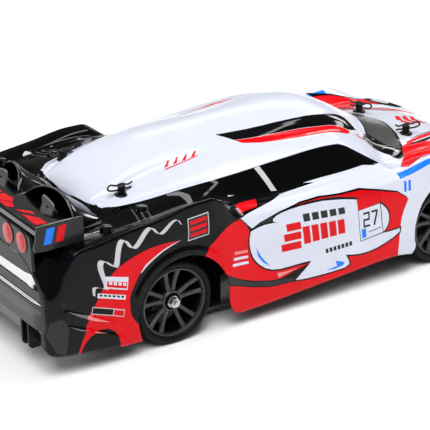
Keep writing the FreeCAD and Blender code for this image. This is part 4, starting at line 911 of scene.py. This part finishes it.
heights = [
    20, 24, 28, 31, 34, 34.8, 35.5, 37, 42, 46, 47, 48, 49, 50.5, 52, 53, 55, 56, 57, 58.5, 61, 64, 64.8,
    65.6, 66.6, 67.4, 68.4, 70, 72, 73.4, 74.4, 76, 78, 81, 84, 87.6
]
columns = 48
fascia_rows = []
for z in heights:
    w = end_half_width(-226.0, z) - 0.3
    row = []
    for k in range(columns + 1):
        s = -1.0 + 2.0 * k / columns
        d = tail_profile(z)
        corner = max(0.0, (abs(s) - 0.86) / 0.14) ** 2
        row.append((-227.8 + d + (2.2 - min(d, 2.2)) * corner + 0.4 * corner, w * s, z))
    fascia_rows.append(row)
rings("tail_fascia", fascia_rows, ["gloss_plastic", "grey", "mid"], closed=False,
      ring_mats=[2 if 48 <= z < 52 else (0 if z < 74 else 1) for z in heights[:-1]], angle=50.0)


def facing_rear(x0):
    """A plate's placing with its outline across the car, at x0."""
    return lambda u, v, w: (x0 + w, u, v)


panel_outline = smooth_loop([(-73, 76), (-75, 86), (-74, 99), (-70, 104.6), (-40, 106), (0, 106.4), (40, 106),
                             (70, 104.6), (74, 99), (75, 86), (73, 76), (40, 74), (0, 74), (-40, 74)], 3)
plate("lamp_panel", panel_outline, facing_rear(-225.6), 2.4, "grey", bevel=0.6)
for side in (-1, 1):
    for n, y in enumerate((42.0, 62.0)):
        bezel = [[(-226.2, side * y + (7.8 - 0.8 * k) * math.cos(a), 97.0 + (8.4 - 0.8 * k) * math.sin(a))
                  for a in angles(32)] for k in range(2)]
        bezel.insert(0, [(-225.4, p[1], p[2]) for p in bezel[0]])
        for r, dx in ((0.86, -0.1), (0.7, -0.9), (0.4, -1.3), (0.1, -1.45)):
            bezel.append([(-226.2 + dx * 0.9, side * y + 7.0 * r * math.cos(a), 97.0 + 7.6 * r * math.sin(a))
                          for a in angles(32)])
        rings("tail_lamp_%s_%d" % ("left" if side > 0 else "right", n), bezel, ["gloss_plastic", "lamp"],
              cap=(False, True), ring_mats=[0, 0, 1, 1, 1, 1], angle=60.0)
for k in range(3):
    plate("lamp_panel_rib_%d" % k, [(-26, 80 + 6 * k), (26, 80 + 6 * k), (24, 82 + 6 * k), (-24, 82 + 6 * k)],
          facing_rear(-226.5), 1.2, "gloss_plastic", bevel=0.3)

# diffuser fins and floor
for side in (-1, 1):
    for n, (y, low) in enumerate(((52.4, 12.4), (62.2, 12.6), (86.4, 18.6))):
        outline = [(-224.6, 36), (-224.0, low + 2.0), (-222, low), (-204, low + 0.3), (-186, 22), (-186, 34)]
        plate("diffuser_fin_%s_%d" % ("left" if side > 0 else "right", n), outline,
              lambda u, v, w, y=y, side=side: (u, side * (y + w), v), 2.2, "plastic", bevel=0.4)
floor_rows = []
for x, z in ((-222, 35), (-214, 31), (-204, 27), (-194, 24), (-186, 22.5)):
    floor_rows.append([(x, y, z + 0.6 * math.cos(y * 0.35)) for y in np.linspace(-84, 84, 65)])
floor_rows += [[(x, y, z + 1.6) for x, y, z in row] for row in reversed(floor_rows)]
rings("diffuser_floor", floor_rows, ["plastic"], closed=False, angle=50.0)


def hump(side):
    """A fairing behind the cabin, open to the rear, with a plate inside its mouth."""
    name = "left" if side > 0 else "right"
    loops = []
    for x, rise, wide, base, sweep_back in (
            (-152, 4, 24, 92, 0.0), (-158, 8, 25.5, 92, 0.0), (-164, 12.5, 26.5, 92, 1.0),
            (-169, 17, 27.3, 91.5, 4.0), (-173.5, 21.5, 28, 91, 9.0), (-176.5, 24.8, 28, 91, 14.0),
            (-178.2, 26.2, 28, 90.6, 16.0),
            (-179.2, 25.8, 27.4, 90.6, 16.0), (-178.6, 24.4, 26.4, 91, 16.0), (-172, 19.5, 25, 91.5, 8.0),
            (-165, 13, 23.5, 92, 2.0)):
        loop = []
        for k in range(29):
            a = math.pi * k / 28
            c, s = math.cos(a), math.sin(a)
            swept = x - sweep_back * ((1 - c) / 2) ** 3
            loop.append((swept, side * (27.8 + wide * c), base + rise * s ** 0.8))
        loops.append(loop)
    # painted highlight: the lip round the mouth is mid grey, and the inside is near-black matte
    rings("hump_" + name, loops, ["gloss_plastic", "recess", "mid"], closed=False,
          ring_mats=[0, 0, 0, 0, 0, 0, 2, 2, 1, 1], angle=60.0)
    back = [(-166, side * 27.5 + (y - side * 27.5) * 0.2, 92 + (z - 92) * 0.2) for x, y, z in loops[-1]]
    rings("hump_back_" + name, [loops[-1], back], ["recess"], closed=False)


hump(1)
hump(-1)
for side in (-1, 1):
    for n, (x, y, lean) in enumerate(((-166, 79, 0), (-128, 66, 1), (-96, 68, 1))):
        loop = [[(x + (5.2 - 1.0 * k) * math.cos(a), side * (y + (5.2 - 1.0 * k) * math.sin(a)), 0.0)
                 for a in angles(24)] for k in range(3)]
        zs = (96.5 + lean * 2, 100.5 + lean * 2, 100.9 + lean * 2)
        raised = [[(p[0], p[1], z) for p in ring] for ring, z in zip(loop, zs)]
        rings("deck_boss_%s_%d" % ("left" if side > 0 else "right", n), raised, ["gloss_plastic"],
              cap=(False, True))

nose_heights = [15, 17, 20, 24, 28, 32, 35, 38, 42, 46, 50, 54, 58, 60.5, 62.5]


def nose_profile(z):
    """How far the nose lies behind its foremost plane, by height."""
    if z < 18:
        return 0.6
    if z < 44:
        return 5.0
    return 0.4 + 0.04 * (z - 44)


nose_rows = []
for z in nose_heights:
    w = end_half_width(226.0, z) - 0.3
    nose_rows.append([(227.8 - nose_profile(z) * max(0.0, 1 - abs(s) ** 6), w * s, z)
                      for s in np.linspace(-1, 1, 41)])
rings("nose_fascia", nose_rows, ["white", "recess"], closed=False,
      ring_mats=[1 if 18 <= z < 43 else 0 for z in nose_heights[:-1]], angle=60.0)
for k in range(5):
    z = 21.0 + 4.6 * k
    plate("grille_bar_%d" % k, [(-42, z), (42, z), (41, z + 1.3), (-41, z + 1.3)],
          lambda u, v, w: (223.4 + w, u, v), 2.0, "gloss_plastic", bevel=0.3)

# ---------------------------------------------------------------------------------------------
# Wing
# ---------------------------------------------------------------------------------------------

wing_rear, wing_front, span = -224.0, -188.0, 80.0
blade = []
for y in np.linspace(-span, span, 41):
    dip = 0.9 * (y / span) ** 2
    blade.append([(wing_rear, y, 108.0 - dip), (wing_rear, y, 111.6 - dip), (wing_rear + 0.6, y, 112.0 - dip),
                  (wing_rear + 3.0, y, 112.0 - dip), (wing_rear + 3.8, y, 111.0 - dip),
                  (wing_rear + 14, y, 109.4 - dip), (wing_rear + 26, y, 107.6 - dip),
                  (wing_front - 0.6, y, 106.0 - dip), (wing_front, y, 105.2 - dip),
                  (wing_front - 0.8, y, 104.4 - dip), (wing_rear + 18, y, 106.2 - dip),
                  (wing_rear + 4, y, 107.6 - dip)])
wing = rings("wing_blade", blade, ["gloss_plastic", "stay"], cap=(True, True), angle=40.0)
for poly in wing.data.polygons:
    c = poly.center / MM
    if c.x < wing_rear + 0.7 and abs(poly.normal.x) > 0.6:
        poly.material_index = 1
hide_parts("rear_wing")


def on_blade(u, v, w):
    """A plate's placing on the wing blade's upper face."""
    dip = 0.9 * (v / span) ** 2
    slope = 111.0 - (u - wing_rear - 3.8) * 0.178
    return (u, v, slope - dip + 0.25 + w)


for side in (-1, 1):
    tag = "left" if side > 0 else "right"
    for n, outline in enumerate(([(-217, 1.5), (-206, 1.5), (-204.6, 12), (-210, 21), (-218.5, 12)],
                                 [(-218.6, 13.5), (-210.5, 22.5), (-214.4, 30.6), (-218.8, 30)],
                                 [(-216.4, 35), (-205.7, 40.8), (-206, 47.4), (-213, 42)],
                                 [(-216, 45.5), (-206.8, 55), (-206.6, 66), (-212.6, 66.8), (-217.4, 68.4)])):
        pts = [(u, side * v) for u, v in outline]
        plate("wing_mark_%s_%d" % (tag, n), pts, on_blade, 0.15, "red")
    y0 = side * 80.0
    outline = smooth_loop([(-225.6, 95.6), (-225.4, 104), (-224.0, 113.6), (-222.4, 114.6), (-205, 114.8),
                           (-188, 114.6), (-186.6, 113), (-186.2, 97), (-188, 95.6), (-205, 95.2)], 2)
    end_plate = plate("wing_end_plate_" + tag, outline,
                      lambda u, v, w, y0=y0, side=side: (u, y0 + side * w, v), 1.8, "grey", bevel=0.5)
    skin_y = side * 81.85
    flat = lambda u, v, w, skin_y=skin_y, side=side: (u, skin_y + side * w, v)
    for key, u in (("blue", -219.0), ("red", -209.6)):
        plate("wing_%s_mark_%s" % (key, tag), bar(u, 100.0, 6.4, 12.0, 0.25, 0.0), flat, 0.12, key)
    outline = [(-196, 90), (-194, 100), (-191, 104), (-187, 107), (-184, 103), (-180, 90)]
    for part, y, out in (("inner", 27.0, side), ("outer", 41.0, -side)):
        plate("wing_stay_%s_%s" % (part, tag), outline,
              lambda u, v, w, y=side * y, out=out: (u, y + out * w, v), 2.0, "mid", bevel=0.4)
    web = [(side * y, z) for y, z in ((26.8, 90), (26.8, 111.4), (28.4, 113), (32, 112.8), (41, 110.8),
                                      (43, 109), (42.6, 90))]
    plate("wing_stay_web_" + tag, web, facing_rear(-189.0), 1.6, "stay", bevel=0.3)
    ring = []
    for r, dx in ((3.6, 0.0), (3.6, -1.0), (2.2, -1.2), (1.4, -0.4)):
        ring.append([(-189.1 + dx, side * 35 + r * math.cos(a), 102.0 + 1.25 * r * math.sin(a))
                     for a in angles(24)])
    rings("wing_stay_boss_" + tag, ring, ["recess"], cap=(False, True))

# ---------------------------------------------------------------------------------------------
# Wheels
# ---------------------------------------------------------------------------------------------

TYRE_SECTION = [
    (27.1, -10.6), (27.5, -11.6), (28.4, -12.3), (29.2, -12.75), (30.0, -12.9), (30.9, -12.7),
    (31.8, -12.1), (32.5, -11.2), (32.85, -10.0), (32.98, -8.6), (32.98, -3.0), (32.98, 3.0), (32.98, 8.6),
    (32.85, 10.0), (32.5, 11.2), (31.8, 12.1), (30.9, 12.7), (30.0, 12.9), (29.6, 12.7), (29.2, 12.75),
    (28.4, 12.3), (27.5, 11.6), (27.1, 10.6)
]
RIM_SECTION = [
    (26.6, -11.0), (27.3, -11.2), (27.3, -10.0), (26.9, -9.2), (26.9, 9.4), (27.1, 10.4), (27.2, 11.4),
    (26.6, 11.9), (25.7, 11.6), (25.2, 10.6), (25.0, 9.0), (24.8, 4.0), (24.6, -4.0), (24.9, -10.0),
    (25.6, -11.2)
]


def lathe(name, section, centre, side, mats, body, closed, steps=96, ring_mats=None):
    """A section of (radius, y) turned about a wheel's axis."""
    loops = []
    for r, y in section:
        loops.append([(centre[0] + r * math.cos(a), centre[1] + side * y, centre[2] + r * math.sin(a))
                      for a in angles(steps)])
    if closed:
        loops.append(loops[0])
    return rings(name, loops, mats, body=body, ring_mats=ring_mats, angle=40.0)


def spoke_mesh(centre, side, angle):
    """One slim spoke: an arched bar with chamfered edges from hub to rim."""
    loops = []
    for k in range(9):
        t = k / 8.0
        r = 6.2 + t * 19.2
        wide = 1.55 + 0.55 * (2 * t - 1) ** 2
        out = 7.6 + 1.7 * t ** 1.5 - 0.8 * math.sin(math.pi * t)
        deep = 2.9 - 0.8 * t
        ring = []
        for u, w in ((-wide, -deep), (-wide, -0.5), (-wide + 0.55, 0.0), (wide - 0.55, 0.0), (wide, -0.5),
                     (wide, -deep)):
            x = r * math.cos(angle) - u * math.sin(angle)
            z = r * math.sin(angle) + u * math.cos(angle)
            ring.append((centre[0] + x, centre[1] + side * (out + w), centre[2] + z))
        loops.append(ring)
    return loops


def wheel(end, side_name):
    """Tyre, ten spokes in five pairs, barrel and hub."""
    side = 1 if side_name == "left" else -1
    tag = end + "_" + side_name
    body = "wheel_" + tag
    low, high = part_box("tyre_" + tag)
    centre = tuple((a + b) / 2 / MM for a, b in zip(low, high))
    tyre = lathe("tyre_skin_" + tag, TYRE_SECTION, centre, side, ["rubber"], body, False)
    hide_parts("tyre_" + tag)
    verts = []
    faces = []
    for pair in range(5):
        for lean in (-13.0, 13.0):
            loops = spoke_mesh(centre, side, math.radians(18.0 + 72.0 * pair + lean))
            base = len(verts)
            verts += [p for loop in loops for p in loop]
            for i in range(len(loops) - 1):
                row = base + i * 6
                for j in range(6):
                    k = (j + 1) % 6
                    faces.append((row + j, row + k, row + 6 + k, row + 6 + j))
    spokes = add_object("spokes_" + tag, verts, faces, ["rim"], body=body, angle=30.0)
    barrel = lathe("rim_barrel_" + tag, RIM_SECTION, centre, side, ["rim", "recess"], body, True,
                   ring_mats=[0] * 10 + [1] * 5)
    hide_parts("rim_" + tag)
    hub = [(2.2, 3.8), (7.2, 3.8), (8.0, 4.4), (8.4, 7.8), (7.9, 8.5), (6.6, 8.6), (6.2, 8.0), (6.0, 5.6),
           (5.2, 5.1), (2.2, 5.1)]
    lathe("rim_hub_" + tag, hub, centre, side, ["rim", "recess"], body, True, steps=48,
          ring_mats=[1, 1, 0, 0, 0, 1, 1, 1, 1, 1])


CORNERS = [(end, side_name) for end in ("rear", "front") for side_name in ("left", "right")]
for end, side_name in CORNERS:
    wheel(end, side_name)

# ---------------------------------------------------------------------------------------------
# Body clips and post collars
# ---------------------------------------------------------------------------------------------

HEADING = {"rear_left": 180.0, "rear_right": 180.0, "front_left": -70.0, "front_right": -17.0}


def clip(end, side_name):
    """A bent wire clip through its post, and the collar under it."""
    side = 1 if side_name == "left" else -1
    tag = end + "_" + side_name
    px, py, pz = POSTS[end]
    turn = math.radians(HEADING[tag] - 180.0)
    flat = [(8.5, 0.5, -0.2), (7, 0, 0), (2, 0, 0), (-3, 0, 0), (-7, 0, 0.2), (-10.2, 0, 0.9),
            (-11.9, 0, 2.4), (-11.2, 0, 4.2), (-9, 0, 5.0), (-6, 0, 4.2), (-4, 0, 3.7), (-1.8, 0, 4.1),
            (0, 0, 4.4), (2.2, 0, 3.8), (4.2, 0, 3.0), (6.4, 0, 2.8), (9.2, 0, 4.0)]
    pts = []
    for x, y, z in smooth_path(flat, 5):
        pts.append((px + x * math.cos(turn) - y * math.sin(turn),
                    side * py + x * math.sin(turn) + y * math.cos(turn), pz - 2.6 + z))
    wire = sweep("clip_" + tag, pts, 0.75, "wire", "body_clip_" + tag)
    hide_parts("body_clip_" + tag)
    collar = []
    for r, z in ((5.2, -7.4), (5.4, -6.6), (4.9, -6.0), (3.6, -5.8)):
        collar.append([(px + r * math.cos(a), side * py + r * math.sin(a), pz + z)
                       for a in angles(32)])
    rings("post_collar_" + tag, collar, ["plastic"])


for end, side_name in CORNERS:
    clip(end, side_name)


# ---------------------------------------------------------------------------------------------
# Coil springs between the shock body and its rod
# ---------------------------------------------------------------------------------------------

SPRING_WIRE = 0.65
SPRING_TURNS = 5
TURN_STEPS = 32


def coil(end, side_name):
    """A spring wound up the CAD spring's box, from the rod's cup to the shock body's collar."""
    tag = end + "_" + side_name
    low, high = [[c / MM for c in corner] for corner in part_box("spring_" + tag)]
    cx, cy = (low[0] + high[0]) / 2, (low[1] + high[1]) / 2
    r = (high[0] - low[0]) / 2 - SPRING_WIRE
    foot, top = low[2] + SPRING_WIRE, high[2] - SPRING_WIRE
    steps = SPRING_TURNS * TURN_STEPS
    pts = [(cx + r * math.cos(math.tau * k / TURN_STEPS), cy + r * math.sin(math.tau * k / TURN_STEPS),
            foot + (top - foot) * k / steps) for k in range(steps + 1)]
    wire = sweep("spring_wire_" + tag, pts, SPRING_WIRE, "spring", None)
    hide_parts("spring_" + tag)
    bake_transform(wire)


for end, side_name in CORNERS:
    coil(end, side_name)

# ---------------------------------------------------------------------------------------------
# CAD nodes that stay visible get their finishes
# ---------------------------------------------------------------------------------------------

NODE_FINISH = [
    ("chassis_plate", "carbon"), ("shock_towers", "carbon"), ("shock_bodies", "alloy"),
    ("shock_rod", "steel"), ("rear_spool", "steel"), ("propeller_shaft", "alloy"),
    ("motor_pinion", "steel"), ("motor", "alloy"), ("battery", "wrap"), ("front_bumper", "foam"),
    ("axle", "steel"), ("drive_shaft", "steel"), ("tie_rod", "steel"), ("steering_link", "alloy")
]
for name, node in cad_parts.items():
    key = "plastic"
    for prefix, chosen in NODE_FINISH:
        if name.startswith(prefix):
            key = chosen
            break
    if not node.material_slots:
        node.data.materials.append(MATS[key])
    for slot in node.material_slots:
        slot.material = MATS[key]

# ---------------------------------------------------------------------------------------------
# Floor, light and camera
# ---------------------------------------------------------------------------------------------

FLOOR_GAP = 0.0003
FLOOR_HALF_WIDTH = 6.0
WORLD_STRENGTH = 0.2
floor_mesh = bpy.data.meshes.new("floor")
ground = bmesh.new()
bmesh.ops.create_grid(ground, x_segments=20, y_segments=20, size=FLOOR_HALF_WIDTH)
for v in ground.verts:
    v.co.z = -FLOOR_GAP
ground.to_mesh(floor_mesh)
ground.free()
floor_mesh.materials.append(finish("pale_floor", (0.9, 0.9, 0.9), 0.7, vary=0.01, grain=5.0))
floor = bpy.data.objects.new("floor", floor_mesh)
bpy.context.collection.objects.link(floor)

world = bpy.data.worlds.new("studio")
bpy.context.scene.world = world
world.use_nodes = True
world.node_tree.nodes["Background"].inputs["Color"].default_value = (1.0, 1.0, 1.0, 1.0)
world.node_tree.nodes["Background"].inputs["Strength"].default_value = WORLD_STRENGTH


def soft_light(name, place, aim, size, power):
    """A rectangular area light, aimed at a point."""
    data = bpy.data.lights.new(name, "AREA")
    data.shape = "RECTANGLE"
    data.size, data.size_y = size
    data.energy = power
    obj = bpy.data.objects.new(name, data)
    obj.location = place
    obj.rotation_euler = (Vector(aim) - Vector(place)).to_track_quat("-Z", "Y").to_euler()
    bpy.context.collection.objects.link(obj)


soft_light("light_top", (0.2, -0.35, 1.6), (0.0, 0.0, 0.0), (1.9, 0.16), 11.0)
soft_light("light_front", (1.55, -0.05, 1.0), (0.0, 0.0, 0.05), (0.7, 0.22), 7.0)
soft_light("light_tail", (-1.25, 1.15, 0.5), (-0.22, 0.0, 0.07), (0.8, 0.3), 11.0)
soft_light("light_far", (1.1, 1.2, 0.95), (0.0, 0.0, 0.08), (1.2, 0.08), 3.0)
sun_data = bpy.data.lights.new("light_sky", "SUN")
sun_data.energy = 2.3
sun_data.angle = math.radians(40.0)
sun = bpy.data.objects.new("light_sky", sun_data)
sun.rotation_euler = Vector((-0.3, -0.38, 0.88)).to_track_quat("Z", "Y").to_euler()
bpy.context.collection.objects.link(sun)

camera_data = bpy.data.cameras.new("camera")
camera_data.sensor_width = 36.0
camera_data.lens = 167.44
camera_data.clip_start = 0.05
camera = bpy.data.objects.new("camera", camera_data)
camera.location = (-0.83492, -1.20757, 0.67342)
aim = Vector((-0.018856, 0.0, 0.0458))
camera.rotation_euler = (aim - camera.location).to_track_quat("-Z", "Y").to_euler()
bpy.context.collection.objects.link(camera)
bpy.context.scene.camera = camera
